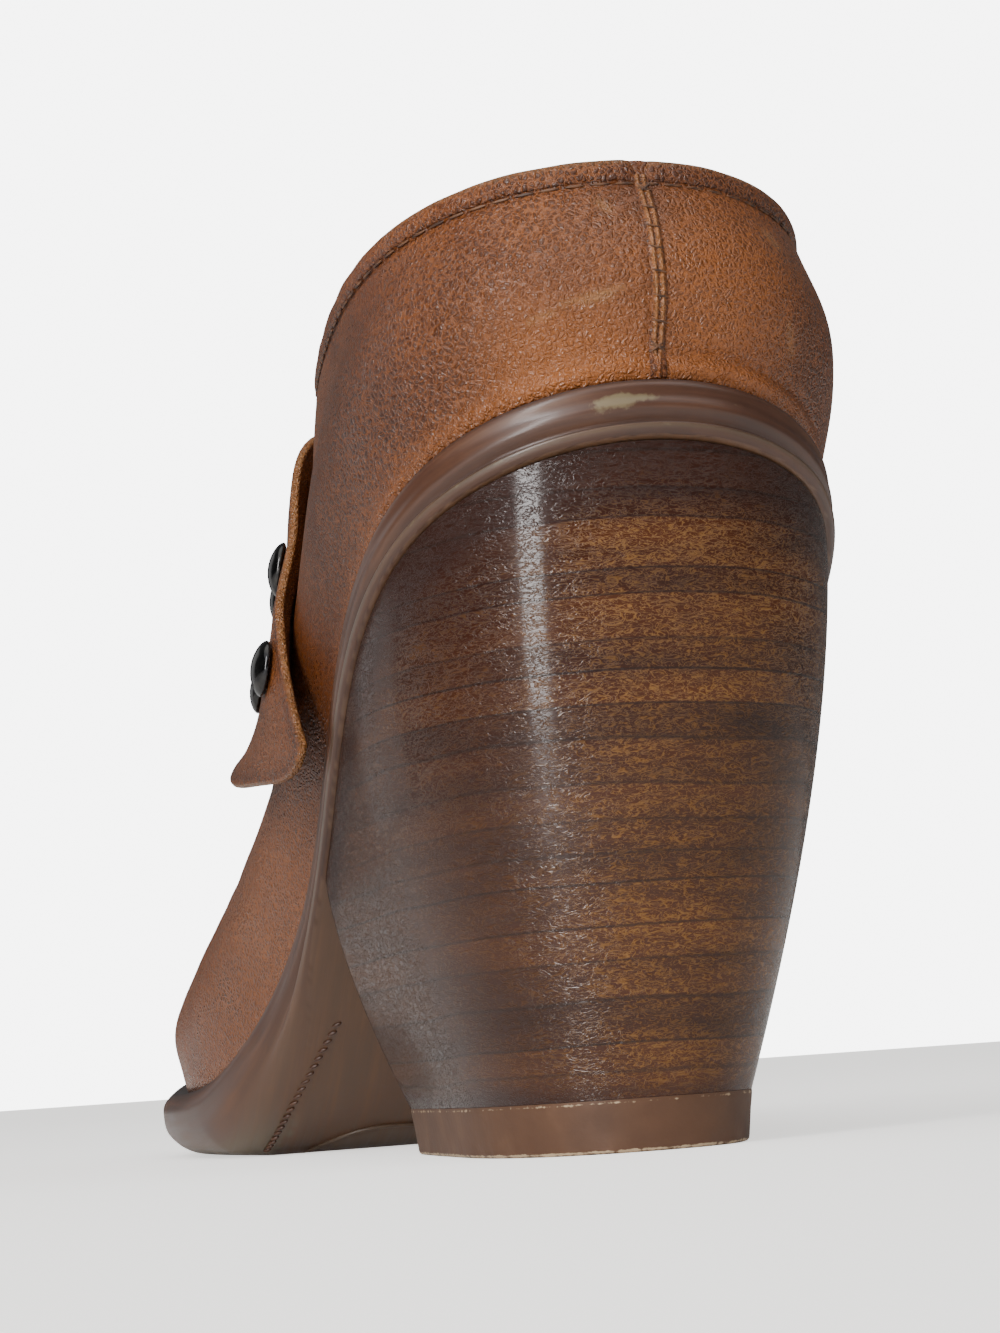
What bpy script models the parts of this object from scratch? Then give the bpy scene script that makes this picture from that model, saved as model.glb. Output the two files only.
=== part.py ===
"""Left shoe of a pair of heeled mules with a low closed back.

The shoe stands on its heel lift and forefoot. Sizes are in millimetres, measured
along the foot from the back edge of the heel lift towards the toe, to the side
from the heel's middle line (outer side of the left foot positive), and up from
the floor. The finished objects are in metres, with the toe towards -Y, the outer
side towards +X, and the origin on the floor under the middle of the shoe.
"""

import math

import bmesh
import bpy
import numpy as np
from mathutils import Vector

MM = 0.001

# Driving sizes
HEEL_BACK = -9.0  # back end of the line where upper meets sole
TOE_TIP = 219.0  # front end of that line
FIT_GAP = 0.3  # space between pieces that meet
UPPER_WALL = 1.8
INSOLE_THICKNESS = 2.4
STRAP_THICKNESS = 2.4
STRAP_GAP = 0.55  # the strap bridges the facets of the curved upper

# Heel block and lift
LIFT_HEIGHT = 6.0
LIFT_DEPTH = 60.0
LIFT_WIDTH = 34.4  # widest, at the floor
LIFT_BREAST_WIDTH = 31.8  # along its straight front edge
LIFT_OFFSET = 3.8  # the lift stands to the outer side of the seat's middle
LIFT_FLARE = 0.8  # growth of each side from the floor to the heel block
LIFT_ROUNDNESS = 2.3  # superellipse power of the rounded back
BREAST_TOP = 66.0  # where the heel's front face meets the sole
HEEL_INSET = 0.5  # heel block inside the lip of the sole
HEEL_CONVEXITY = 1.55  # swell of the heel's sides

# Upper
THROAT_STATION = 82.0  # foot of the wall line that ends at the throat's middle
BULGE_END = 0.55  # share of the ridge's height up to which the leather swells
TOE_SWING = 14.0  # how far the toe tip lies to the inner side

# Studs on the strap
STUD_RADIUS = 4.0
STUD_RIM = 0.7
STUD_DOME = 2.0
STUD_GAP = 0.5

# Mesh fineness
OPEN_STATIONS = 22  # from the back to the throat
VAMP_STATIONS = 23  # from the throat to the toe
WALL_ROWS = 10
STRAP_STEPS = 36  # from neck to neck
FLARE_STEPS = 6
STRAP_COLUMNS = 8
CAP_COLUMNS = 5

# Sole line seen from above: reach to the outer and the inner side
OUTLINE = (
    # along, outer, inner
    (HEEL_BACK, 0.0, 0.0),
    (5.0, 24.6, 25.2),
    (24.0, 30.2, 30.6),
    (45.0, 30.2, 29.6),
    (70.0, 29.2, 28.4),
    (95.0, 31.6, 34.5),
    (115.0, 36.0, 43.8),
    (138.0, 38.6, 51.0),
    (165.0, 35.8, 52.5),
    (190.0, 26.6, 46.6),
    (208.0, 11.4, 35.8),
    (TOE_TIP, -TOE_SWING, TOE_SWING),
)

# Sole line and sole underside seen from the side
PROFILE = (
    # along, seat height, underside height
    (HEEL_BACK, 91.0, 83.8),
    (16.0, 79.8, 72.4),
    (35.0, 68.6, 61.0),
    (55.0, 54.4, 46.6),
    (75.0, 38.2, 30.4),
    (92.0, 24.6, 15.8),
    (106.0, 16.4, 5.6),
    (122.0, 11.8, -0.6),
    (137.0, 10.8, -0.6),
    (152.0, 10.8, -0.5),
    (180.0, 12.8, 2.2),
    (205.0, 17.0, 6.6),
    (TOE_TIP, 20.4, 10.0),
)

# Ridge of the last that each wall line climbs to; behind the throat the collar cuts it short
RIDGE = (
    # along at the sole, along at the ridge, ridge height, fullness of the section
    (HEEL_BACK, 18.0, 142.0, 3.4),
    (5.0, 23.0, 142.0, 3.8),
    (25.0, 33.0, 141.5, 4.4),
    (45.0, 46.0, 138.5, 4.4),
    (64.0, 62.0, 130.0, 3.8),
    (75.0, 73.5, 119.0, 3.1),
    (THROAT_STATION, 80.0, 111.5, 2.7),
    (92.0, 90.0, 100.2, 2.4),
    (104.0, 101.5, 88.4, 2.25),
    (118.0, 115.0, 76.2, 2.15),
    (134.0, 130.0, 64.4, 2.15),
    (150.0, 145.0, 54.6, 2.2),
    (166.0, 159.0, 47.8, 2.3),
    (182.0, 172.5, 43.2, 2.4),
    (198.0, 184.0, 40.4, 2.5),
    (211.0, 191.5, 38.8, 2.55),
    (TOE_TIP, 194.5, 38.0, 2.6),
)

# Collar seen from the side
COLLAR = (
    # along, height
    (-10.0, 119.3),
    (10.0, 116.6),
    (30.0, 114.0),
    (48.0, 112.2),
    (64.0, 111.4),
    (80.0, 111.5),
)

# Side of the sole from its top edge down
SOLE_SIDE = (
    # share of the drop, reach past the sole line at the heel, and at the forefoot
    (0.00, 0.6, 2.2),
    (0.10, 1.0, 3.4),
    (0.34, 1.1, 4.0),
    (0.60, 0.9, 3.4),
    (0.68, 0.5, 2.8),
    (0.76, 1.3, 2.0),
    (0.90, 1.3, 0.0),
    (0.97, 1.1, -3.2),
    (1.00, 0.7, -7.0),
)

# Edges of the strap on one side where it lies on the wall, from the neck up
STRAP = (
    # rear station, rear height, front station, front height
    (58.0, 74.0, 86.0, 72.0),
    (63.0, 84.5, 88.0, 81.0),
    (67.5, 97.0, 92.5, 88.5),
    (75.5, 106.0, 98.5, 89.5),
)
STRAP_AT_RIDGE = (85.5, 105.5)  # rear and front station

# Corners of the flared end that hangs free below the neck
FLARE = (
    # station, height, reach past the sole line
    (43.5, 51.0, 2.2),
    (88.0, 53.0, 6.0),
)
FLARE_ROUNDING = 0.22  # share of the flared end's length that its corners lose

# Studs on one side: place along and across the strap, as shares
STUDS = (
    # name, turns of the strap from its tip (neck at 1, ridge at 2), share from rear to front
    ("low_rear", 0.72, 0.24),
    ("low_front", 0.72, 0.70),
    ("high_rear", 1.24, 0.24),
    ("high_front", 1.24, 0.74),
)

COLOURS = {
    "leather_tan": ((0.33, 0.12, 0.045), 0.45, 0.0),
    "sole_brown": ((0.085, 0.045, 0.03), 0.5, 0.0),
    "stacked_heel": ((0.13, 0.05, 0.025), 0.3, 0.0),
    "lift_rubber": ((0.12, 0.06, 0.035), 0.6, 0.0),
    "insole_leather": ((0.36, 0.2, 0.1), 0.6, 0.0),
    "gunmetal": ((0.05, 0.05, 0.05), 0.25, 1.0),
}


def smooth_through(xs, ys):
    """Natural cubic spline through the points, straight beyond its ends."""
    xs = np.asarray(xs, float)
    ys = np.asarray(ys, float)
    step = np.diff(xs)
    rise = np.diff(ys) / step
    count = len(xs)
    system = np.eye(count)
    right = np.zeros(count)
    for i in range(1, count - 1):
        system[i, i - 1 : i + 2] = step[i - 1], 2 * (step[i - 1] + step[i]), step[i]
        right[i] = 6 * (rise[i] - rise[i - 1])
    bend = np.linalg.solve(system, right)

    def value(x):
        i = int(np.clip(np.searchsorted(xs, x) - 1, 0, count - 2))
        inside = min(max(x, xs[0]), xs[-1])
        a = (xs[i + 1] - inside) / step[i]
        b = 1 - a
        curve = (a**3 - a) * bend[i] + (b**3 - b) * bend[i + 1]
        slope = rise[i] + step[i] / 6 * (
            (1 - 3 * a * a) * bend[i] + (3 * b * b - 1) * bend[i + 1]
        )
        level = a * ys[i] + b * ys[i + 1] + curve * step[i] ** 2 / 6
        return level + slope * (x - inside)

    return value


def ease(x, low, high):
    """0 below low, 1 above high, smooth between."""
    share = min(max((x - low) / (high - low), 0.0), 1.0)
    return share * share * (3 - 2 * share)


def turn_of(along):
    """Station as a share of a half turn, so that both ends of an outline come out round."""
    share = (along - HEEL_BACK) / (TOE_TIP - HEEL_BACK)
    return math.acos(1 - 2 * min(max(share, 0.0), 1.0)) / math.pi


def along_of(turn):
    return HEEL_BACK + (TOE_TIP - HEEL_BACK) * (1 - math.cos(math.pi * turn)) / 2


def column(table, index):
    return [row[index] for row in table]


outline_turns = [turn_of(along) for along in column(OUTLINE, 0)]
outer_reach = smooth_through(outline_turns, column(OUTLINE, 1))
inner_reach = smooth_through(outline_turns, column(OUTLINE, 2))
seat_height = smooth_through(column(PROFILE, 0), column(PROFILE, 1))
underside_curve = smooth_through(column(PROFILE, 0), column(PROFILE, 2))
ridge_turns = [turn_of(along) for along in column(RIDGE, 0)]
ridge_along = smooth_through(ridge_turns, column(RIDGE, 1))
ridge_height = smooth_through(ridge_turns, column(RIDGE, 2))
fullness = smooth_through(ridge_turns, column(RIDGE, 3))
collar_height = smooth_through(column(COLLAR, 0), column(COLLAR, 1))


def underside_height(along):
    """Underside of the sole, flat on the floor under the ball of the foot."""
    return max(underside_curve(along), 0.0)


def edge(turn, side):
    """Sole line in plan on one side, as (along, across)."""
    reach = outer_reach(turn) if side > 0 else inner_reach(turn)
    return np.array([along_of(turn), side * reach])


def outward(turn, side):
    """Unit normal of the sole line in plan."""
    if turn < 1e-6 or turn > 1 - 1e-6:
        return np.array([-1.0 if turn < 0.5 else 1.0, 0.0])
    nudge = 1e-4
    way = edge(turn + nudge, side) - edge(turn - nudge, side)
    normal = side * np.array([-way[1], way[0]])
    return normal / np.linalg.norm(normal)


def ridge_point(turn):
    """Point of the last's ridge above a station, swung to the inner side at the toe."""
    along = ridge_along(turn)
    across = -TOE_SWING * ease(along, 60.0, TOE_TIP)
    return np.array([along, across, ridge_height(turn)])


def wall_point(turn, rise, side):
    """Outer face of the last. Rise runs from 0 at the sole line to 1 at the ridge."""
    along = along_of(turn)
    foot = np.append(edge(turn, side), seat_height(along))
    top = ridge_point(turn)
    if rise < 0:
        return foot + np.array([0.0, 0.0, rise * (top[2] - foot[2])])
    angle = rise * math.pi / 2
    power = 2 / fullness(turn)
    inward = 1 - max(math.cos(angle), 0.0) ** power
    upward = math.sin(angle) ** power
    swell = 3.2 - 0.8 * ease(along, 90.0, 150.0)
    point = foot + (top - foot) * np.array([inward, inward, upward])
    bulge = math.sin(math.pi * min(upward / BULGE_END, 1.0)) ** 2
    point[:2] += outward(turn, side) * swell * bulge
    return point


def wall_normal(turn, rise, side):
    """Unit normal of the upper's outer face, by small steps along it."""
    nudge = 2e-3
    low, high = max(turn - nudge, 0.0), min(turn + nudge, 1.0)
    base = min(max(rise, nudge), 1 - 2 * nudge)
    along = wall_point(high, base, side) - wall_point(low, base, side)
    upward = wall_point(turn, base + nudge, side) - wall_point(turn, base - nudge, side)
    normal = side * np.cross(upward, along)
    return normal / np.linalg.norm(normal)


def rise_at(turn, height):
    """Rise at which a wall line reaches a height, negative below the sole line."""
    foot = seat_height(along_of(turn))
    share = (height - foot) / (ridge_height(turn) - foot)
    if share <= 0:
        return share
    return math.asin(min(share, 1.0) ** (fullness(turn) / 2)) * 2 / math.pi


def wall_end(turn, side):
    """Rise at which the wall stops: the collar, or the ridge before the throat."""
    if along_of(turn) > THROAT_STATION - 1e-6:
        return 1.0
    rise = 0.5
    for _ in range(30):
        rise = rise_at(turn, collar_height(wall_point(turn, rise, side)[0]))
    return rise


def open_turns():
    """Stations from the back to the throat, closer together at both ends."""
    last = turn_of(THROAT_STATION)
    shares = np.linspace(0, 1, OPEN_STATIONS)
    return [last * math.sin(share * math.pi / 2) for share in shares]


def vamp_turns():
    first = turn_of(THROAT_STATION)
    return list(np.linspace(first, 1.0, VAMP_STATIONS + 1)[1:])


TURNS = open_turns() + vamp_turns()


def to_scene(point):
    along, across, height = point
    return Vector((across * MM, -along * MM, height * MM))


def material(name):
    colour, roughness, metallic = COLOURS[name]
    made = bpy.data.materials.new(name)
    made.use_nodes = True
    shader = made.node_tree.nodes["Principled BSDF"]
    shader.inputs["Base Color"].default_value = (*colour, 1.0)
    shader.inputs["Roughness"].default_value = roughness
    shader.inputs["Metallic"].default_value = metallic
    return made


def finish(name, mesh, finish_name, shoe):
    """Turns a bmesh into a named, smooth-shaded object of the shoe."""
    data = bpy.data.meshes.new(name)
    mesh.to_mesh(data)
    mesh.free()
    data.shade_smooth()
    data.set_sharp_from_angle(angle=math.radians(40))
    obj = bpy.data.objects.new(name, data)
    obj.data.materials.append(bpy.data.materials.get(finish_name) or material(finish_name))
    obj.parent = shoe
    bpy.context.scene.collection.objects.link(obj)
    return obj


def ring(outer, inner, front=()):
    """One closed level: back point, outer side, front edge, then the inner side back again."""
    last = len(inner) if front else len(inner) - 1
    return [*outer, *front, *reversed(inner[1:last])]


def bridge(mesh, lower, upper):
    count = len(lower)
    for i in range(count):
        k = (i + 1) % count
        mesh.faces.new((lower[i], lower[k], upper[k], upper[i]))


def cap(mesh, outer, inner, front):
    """Closes a level with strips from side to side, so that it keeps the level's curve."""
    rows = []
    for a, b in zip(outer[1:], inner[1:]):
        if a is b:
            rows.append([a])
            continue
        inside = []
        if not (front and a is outer[-1]):
            for k in range(1, CAP_COLUMNS):
                inside.append(mesh.verts.new(a.co.lerp(b.co, k / CAP_COLUMNS)))
        rows.append([a, *(inside or front), b])
    for a, b in zip(rows[0], rows[0][1:]):
        mesh.faces.new((outer[0], a, b))
    for near, far in zip(rows, rows[1:]):
        for k in range(len(near) - 1):
            if len(far) == 1:
                mesh.faces.new((near[k], near[k + 1], far[0]))
            else:
                mesh.faces.new((near[k], near[k + 1], far[k + 1], far[k]))


def stacked_levels(levels):
    """Closed body from levels of (outer, inner) points that share back and, when pointed, front."""
    mesh = bmesh.new()
    rings = []
    ends = []
    for outer, inner in levels:
        pointed = np.allclose(outer[-1], inner[-1])
        outer_verts = [mesh.verts.new(to_scene(p)) for p in outer]
        inner_verts = [outer_verts[0]]
        stop = -1 if pointed else None
        inner_verts += [mesh.verts.new(to_scene(p)) for p in inner[1:stop]]
        front = []
        if pointed:
            inner_verts.append(outer_verts[-1])
        else:
            for k in range(1, CAP_COLUMNS):
                share = k / CAP_COLUMNS
                front.append(mesh.verts.new(outer_verts[-1].co.lerp(inner_verts[-1].co, share)))
        rings.append(ring(outer_verts, inner_verts, front))
        ends.append((outer_verts, inner_verts, front))
    for lower, upper in zip(rings, rings[1:]):
        bridge(mesh, lower, upper)
    cap(mesh, *ends[0])
    cap(mesh, *ends[-1])
    bmesh.ops.recalc_face_normals(mesh, faces=mesh.faces)
    return mesh


def sole_level(drop, reach_of, turns, lower=0.0, lift=0.0):
    """Level of the sole at a share of its thickness, as (outer, inner) points."""
    sides = []
    for side in (1, -1):
        points = []
        for turn in turns:
            plan = edge(turn, side) + outward(turn, side) * reach_of(along_of(turn))
            top = seat_height(plan[0]) - FIT_GAP
            height = top + (underside_height(plan[0]) - top) * drop
            points.append(np.append(plan, height - lower + lift))
        sides.append(points)
    return tuple(sides)


def forefoot_share(along):
    return ease(along, 72.0, 112.0)


def outsole(shoe):
    levels = []
    for drop, at_heel, at_forefoot in SOLE_SIDE:

        def reach(along, a=at_heel, b=at_forefoot):
            return a + (b - a) * forefoot_share(along)

        levels.append(sole_level(drop, reach, TURNS))
    return finish("outsole", stacked_levels(levels), "sole_brown", shoe)


def lift_outline(count, grow):
    """Rounded back and straight front edge of the lift in plan, on the outer side."""
    middle = 0.45 * LIFT_DEPTH
    wide = LIFT_WIDTH / 2 + grow
    front = LIFT_BREAST_WIDTH / 2 + grow
    points = []
    for share in np.linspace(0, 1, count):
        if share <= 0.6:
            angle = share / 0.6 * math.pi / 2
            along = middle - (middle + grow) * math.cos(angle) ** (2 / LIFT_ROUNDNESS)
            across = wide * math.sin(angle) ** (2 / LIFT_ROUNDNESS)
        else:
            step = (share - 0.6) / 0.4
            along = middle + (LIFT_DEPTH + grow * 0.4 - middle) * step
            across = wide + (front - wide) * step**1.5
        points.append((along, across))
    return points


def heel_turns():
    """Sole stations over the heel, ending at its front face."""
    last = turn_of(BREAST_TOP)
    return [turn for turn in TURNS if turn < last - 0.004] + [last]


def lift_level(count, grow, height):
    plan = lift_outline(count, grow)
    outer = [np.array([along, LIFT_OFFSET + across, height]) for along, across in plan]
    inner = [np.array([along, LIFT_OFFSET - across, height]) for along, across in plan]
    return outer, inner


def top_lift(shoe):
    count = len(heel_turns())
    levels = [
        lift_level(count, -0.5, 0.0),
        lift_level(count, 0.0, 0.5),
        lift_level(count, LIFT_FLARE, LIFT_HEIGHT),
    ]
    return finish("top_lift", stacked_levels(levels), "lift_rubber", shoe)


def heel(shoe):
    turns = heel_turns()
    seat = sole_level(1.0, lambda along: SOLE_SIDE[-1][1] - HEEL_INSET, turns, lower=FIT_GAP)
    foot = lift_level(len(turns), LIFT_FLARE, LIFT_HEIGHT + FIT_GAP)
    levels = []
    for share in np.linspace(0, 1, 9):
        spread = 1 - (1 - share) ** HEEL_CONVEXITY
        blend = np.array([share, spread, share])
        levels.append(
            tuple(
                [low + (high - low) * blend for low, high in zip(foot[k], seat[k])]
                for k in (0, 1)
            )
        )
    return finish("heel", stacked_levels(levels), "stacked_heel", shoe)


def insole(shoe):
    inset = UPPER_WALL + 2 * FIT_GAP
    rows = ((inset + 0.8, 0.0), (inset, 0.6), (inset, 1.9), (inset + 0.8, INSOLE_THICKNESS))
    levels = []
    for reach, lift in rows:
        levels.append(sole_level(0.0, lambda along, r=reach: -r, TURNS, lift=FIT_GAP + lift))
    return finish("insole", stacked_levels(levels), "insole_leather", shoe)


def upper(shoe):
    """Outer face as wall lines side by side, thickened inwards to one hollow wall."""
    mesh = bmesh.new()
    grid = {}
    shares = np.linspace(0, 1, WALL_ROWS + 1)
    for side in (1, -1):
        grid[side] = []
        for turn in TURNS:
            rises = shares * wall_end(turn, side)
            line = [mesh.verts.new(to_scene(wall_point(turn, rise, side))) for rise in rises]
            grid[side].append(line)
    for side in (1, -1):
        lines = grid[side]
        for i in range(len(TURNS) - 1):
            for j in range(WALL_ROWS):
                face = [lines[i][j], lines[i + 1][j], lines[i + 1][j + 1], lines[i][j + 1]]
                mesh.faces.new(face if side < 0 else reversed(face))
    bmesh.ops.remove_doubles(mesh, verts=mesh.verts, dist=1e-6)
    obj = finish("upper", mesh, "leather_tan", shoe)
    wall = obj.modifiers.new("wall", "SOLIDIFY")
    wall.thickness = UPPER_WALL * MM
    wall.offset = -1.0
    wall.use_even_offset = True
    return obj


def girth(turn, side):
    """Rises along a wall line, the share of its length that each one marks, and the length."""
    rises = np.linspace(0, 1, 61)
    points = np.array([wall_point(turn, rise, side) for rise in rises])
    lengths = np.linalg.norm(np.diff(points, axis=0), axis=1)
    return rises, np.append(0.0, np.cumsum(lengths)) / lengths.sum(), lengths.sum()


def girth_at(station, height):
    """Share of the outer wall line's length at a height, negative below the sole line."""
    turn = turn_of(station)
    rises, shares, length = girth(turn, 1)
    drop = height - seat_height(station)
    if drop < 0:
        return drop / length
    return float(np.interp(rise_at(turn, height), rises, shares))


def strap_columns():
    """Edges of the strap over the foot: stations, and girth counted past the ridge."""
    rows = []
    for rear, rear_height, front, front_height in STRAP:
        rows.append((rear, girth_at(rear, rear_height), front, girth_at(front, front_height)))
    middle = (STRAP_AT_RIDGE[0], 1.0, STRAP_AT_RIDGE[1], 1.0)
    mirrored = [(a, 2 - b, c, 2 - d) for a, b, c, d in reversed(rows)]
    whole = rows + [middle] + mirrored
    steps = np.linspace(1, 3, len(whole))
    return [smooth_through(steps, column(whole, k)) for k in range(4)]


strap_edges = strap_columns()


def strap_on_wall(place, across):
    """Point of the strap's resting face between its two necks."""
    rear, rear_climb, front, front_climb = (part(place) for part in strap_edges)
    climb = rear_climb + (front_climb - rear_climb) * across
    side = 1 if climb <= 1 else -1
    turn = turn_of(rear + (front - rear) * across)
    rises, shares, _ = girth(turn, side)
    rise = float(np.interp(min(climb, 2 - climb), shares, rises))
    return wall_point(turn, rise, side) + wall_normal(turn, rise, side) * STRAP_GAP


def strap_point(place, across):
    """Point of the strap's resting face. Place is 0 at the outer tip, 1 at its neck, 2 at the
    ridge, 3 at the inner neck and 4 at the inner tip; across runs from rear to front edge."""
    if 1 <= place <= 3:
        return strap_on_wall(place, across)
    side = 1 if place < 1 else -1
    share = 1 - place if side > 0 else place - 3
    share *= 1 - FLARE_ROUNDING * (2 * across - 1) ** 4
    neck = strap_on_wall(2 - side, across)
    way = neck - strap_on_wall(2 - 0.94 * side, across)
    corners = []
    for station, height, reach in FLARE:
        turn = turn_of(station)
        plan = edge(turn, side) + outward(turn, side) * reach
        corners.append(np.append(plan, height))
    tip = corners[0] + (corners[1] - corners[0]) * across
    bend = neck + way / np.linalg.norm(way) * 0.5 * np.linalg.norm(tip - neck)
    return neck * (1 - share) ** 2 + bend * 2 * share * (1 - share) + tip * share**2


def instep_strap(shoe):
    mesh = bmesh.new()
    free = np.linspace(0, 1, FLARE_STEPS + 1)
    places = [*free, *np.linspace(1, 3, STRAP_STEPS + 1)[1:], *(free[1:] + 3)]
    lines = []
    for place in places:
        columns = np.linspace(0, 1, STRAP_COLUMNS + 1)
        lines.append([mesh.verts.new(to_scene(strap_point(place, a))) for a in columns])
    for near, far in zip(lines, lines[1:]):
        for k in range(STRAP_COLUMNS):
            mesh.faces.new((near[k], far[k], far[k + 1], near[k + 1]))
    obj = finish("instep_strap", mesh, "leather_tan", shoe)
    body = obj.modifiers.new("body", "SOLIDIFY")
    body.thickness = STRAP_THICKNESS * MM
    body.offset = 1.0
    body.use_even_offset = True
    return obj


def strap_normal(place, across):
    """Unit normal of the strap's outer face, by small steps along and across it."""
    nudge = 0.04
    climb = strap_point(place + nudge, across) - strap_point(place - nudge, across)
    width = strap_point(place, across + nudge) - strap_point(place, across - nudge)
    normal = np.cross(climb, width)
    return normal / np.linalg.norm(normal)


def stud(shoe, name, place, across):
    """Domed stud with a rim, its flat back on the strap."""
    facing = strap_normal(place, across)
    seat = strap_point(place, across) + facing * (STRAP_THICKNESS + STUD_GAP)
    rings = ((STUD_RADIUS, 0.0), (STUD_RADIUS, STUD_RIM))
    dome = [(math.radians(angle), STUD_DOME) for angle in (15, 40, 65)]
    rings += tuple(
        (0.92 * STUD_RADIUS * math.cos(angle), STUD_RIM + tall * math.sin(angle))
        for angle, tall in dome
    )
    mesh = bmesh.new()
    count = 16
    levels = []
    for radius, height in rings:
        angles = np.linspace(0, 2 * math.pi, count, endpoint=False)
        levels.append(
            [
                mesh.verts.new((radius * math.cos(a) * MM, radius * math.sin(a) * MM, height * MM))
                for a in angles
            ]
        )
    for lower, upper_ring in zip(levels, levels[1:]):
        bridge(mesh, lower, upper_ring)
    mesh.faces.new(reversed(levels[0]))
    crown = mesh.verts.new((0.0, 0.0, (STUD_RIM + STUD_DOME) * MM))
    for i in range(count):
        mesh.faces.new((levels[-1][i], levels[-1][(i + 1) % count], crown))
    bmesh.ops.recalc_face_normals(mesh, faces=mesh.faces)
    obj = finish(name, mesh, "gunmetal", shoe)
    obj.location = to_scene(seat)
    obj.rotation_euler = to_scene(facing).to_track_quat("Z", "Y").to_euler()
    return obj


def centre_on_floor(shoe):
    """Moves the shoe so that the middle of its footprint is at the origin."""
    bpy.context.view_layer.update()
    graph = bpy.context.evaluated_depsgraph_get()
    low = Vector((math.inf,) * 3)
    high = -low
    for obj in shoe.children:
        made = obj.evaluated_get(graph)
        for vert in made.data.vertices:
            place = made.matrix_world @ vert.co
            low = Vector(map(min, low, place))
            high = Vector(map(max, high, place))
    shoe.location = (-(low.x + high.x) / 2, -(low.y + high.y) / 2, 0.0)


def main():
    for obj in list(bpy.data.objects):
        bpy.data.objects.remove(obj)
    shoe = bpy.data.objects.new("shoe", None)
    bpy.context.scene.collection.objects.link(shoe)
    outsole(shoe)
    heel(shoe)
    top_lift(shoe)
    insole(shoe)
    upper(shoe)
    instep_strap(shoe)
    for name, place, across in STUDS:
        stud(shoe, f"stud_outer_{name}", place, across)
        stud(shoe, f"stud_inner_{name}", 4 - place, across)
    centre_on_floor(shoe)


main()
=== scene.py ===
import math

import bmesh
import bpy
import numpy as np
from mathutils import Matrix, Vector, noise


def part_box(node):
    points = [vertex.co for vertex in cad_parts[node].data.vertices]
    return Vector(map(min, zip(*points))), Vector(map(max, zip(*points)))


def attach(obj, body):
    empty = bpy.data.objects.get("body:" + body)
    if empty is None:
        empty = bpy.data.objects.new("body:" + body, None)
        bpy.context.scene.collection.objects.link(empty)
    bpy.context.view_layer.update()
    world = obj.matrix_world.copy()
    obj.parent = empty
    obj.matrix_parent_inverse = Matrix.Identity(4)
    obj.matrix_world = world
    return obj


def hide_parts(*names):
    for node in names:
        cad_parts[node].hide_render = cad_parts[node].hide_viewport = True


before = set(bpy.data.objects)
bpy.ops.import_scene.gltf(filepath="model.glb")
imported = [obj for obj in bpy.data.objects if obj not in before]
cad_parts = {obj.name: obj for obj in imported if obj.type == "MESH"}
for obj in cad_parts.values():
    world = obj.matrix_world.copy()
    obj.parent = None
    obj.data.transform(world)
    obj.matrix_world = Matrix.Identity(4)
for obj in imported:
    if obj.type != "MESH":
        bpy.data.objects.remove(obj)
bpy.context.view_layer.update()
print("frame loaded")

# the last, in mm: along from the lift's back edge to the toe, across with the outer side positive, height
last = {
    "heelBack": -9.0,
    "toeTip": 219.0,
    "throat": 82.0,
    "toeSwing": 14.0,  # the ridge leans to the inner side
    "swingFrom": 60.0,
    "swell": 3.2,  # the sides bulge over the sole, a little less in front
    "swellLoss": 0.8,
    "swellFade": (90, 150),
    "bulgeEnd": 0.55,
    "fitGap": 0.3,
    # along, reach to the outer side, reach to the inner side
    "outline": [
        (-9, 0, 0), (5, 24.6, 25.2), (24, 30.2, 30.6), (45, 30.2, 29.6), (70, 29.2, 28.4), (95, 31.6, 34.5),
        (115, 36, 43.8), (138, 38.6, 51), (165, 35.8, 52.5), (190, 26.6, 46.6), (208, 11.4, 35.8),
        (219, -14, 14),
    ],
    # along, seat height, underside height
    "profile": [
        (-9, 91, 83.8), (16, 79.8, 72.4), (35, 68.6, 61), (55, 54.4, 46.6), (75, 38.2, 30.4),
        (92, 24.6, 15.8), (106, 16.4, 5.6), (122, 11.8, -0.6), (137, 10.8, -0.6), (152, 10.8, -0.5),
        (180, 12.8, 2.2), (205, 17, 6.6), (219, 20.4, 10),
    ],
    # along at the sole, along at the ridge, ridge height, fullness of the section
    "ridge": [
        (-9, 18, 142, 3.4), (5, 23, 142, 3.8), (25, 33, 141.5, 4.4), (45, 46, 138.5, 4.4), (64, 62, 130, 3.8),
        (75, 73.5, 119, 3.1), (82, 80, 111.5, 2.7), (92, 90, 100.2, 2.4), (104, 101.5, 88.4, 2.25),
        (118, 115, 76.2, 2.15), (134, 130, 64.4, 2.15), (150, 145, 54.6, 2.2), (166, 159, 47.8, 2.3),
        (182, 172.5, 43.2, 2.4), (198, 184, 40.4, 2.5), (211, 191.5, 38.8, 2.55), (219, 194.5, 38, 2.6),
    ],
    # along, height
    "collar": [(-10, 119.3), (10, 116.6), (30, 114), (48, 112.2), (64, 111.4), (80, 111.5)],
}
heelForm = {
    "liftHeight": 6.0,
    "liftDepth": 60.0,
    "liftWidth": 34.4,
    "breastWidth": 31.8,
    "liftOffset": 3.8,
    "liftFlare": 0.8,
    "liftRoundness": 2.3,
    "liftMiddle": 0.45,  # share of the depth where the round back ends
    "roundShare": 0.6,  # share of the outline that the round back takes
    "breastTop": 66.0,
    "inset": 0.5,
    "convexity": 1.55,
    "stations": 22,  # wall lines of the solid between back and throat, which pair lift and seat
}

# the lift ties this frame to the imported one
liftLow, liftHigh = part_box("top_lift")
acrossShift = (liftLow.x + liftHigh.x) * 500 - heelForm["liftOffset"]
alongShift = liftHigh.y * 1000 - heelForm["liftFlare"]


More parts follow.
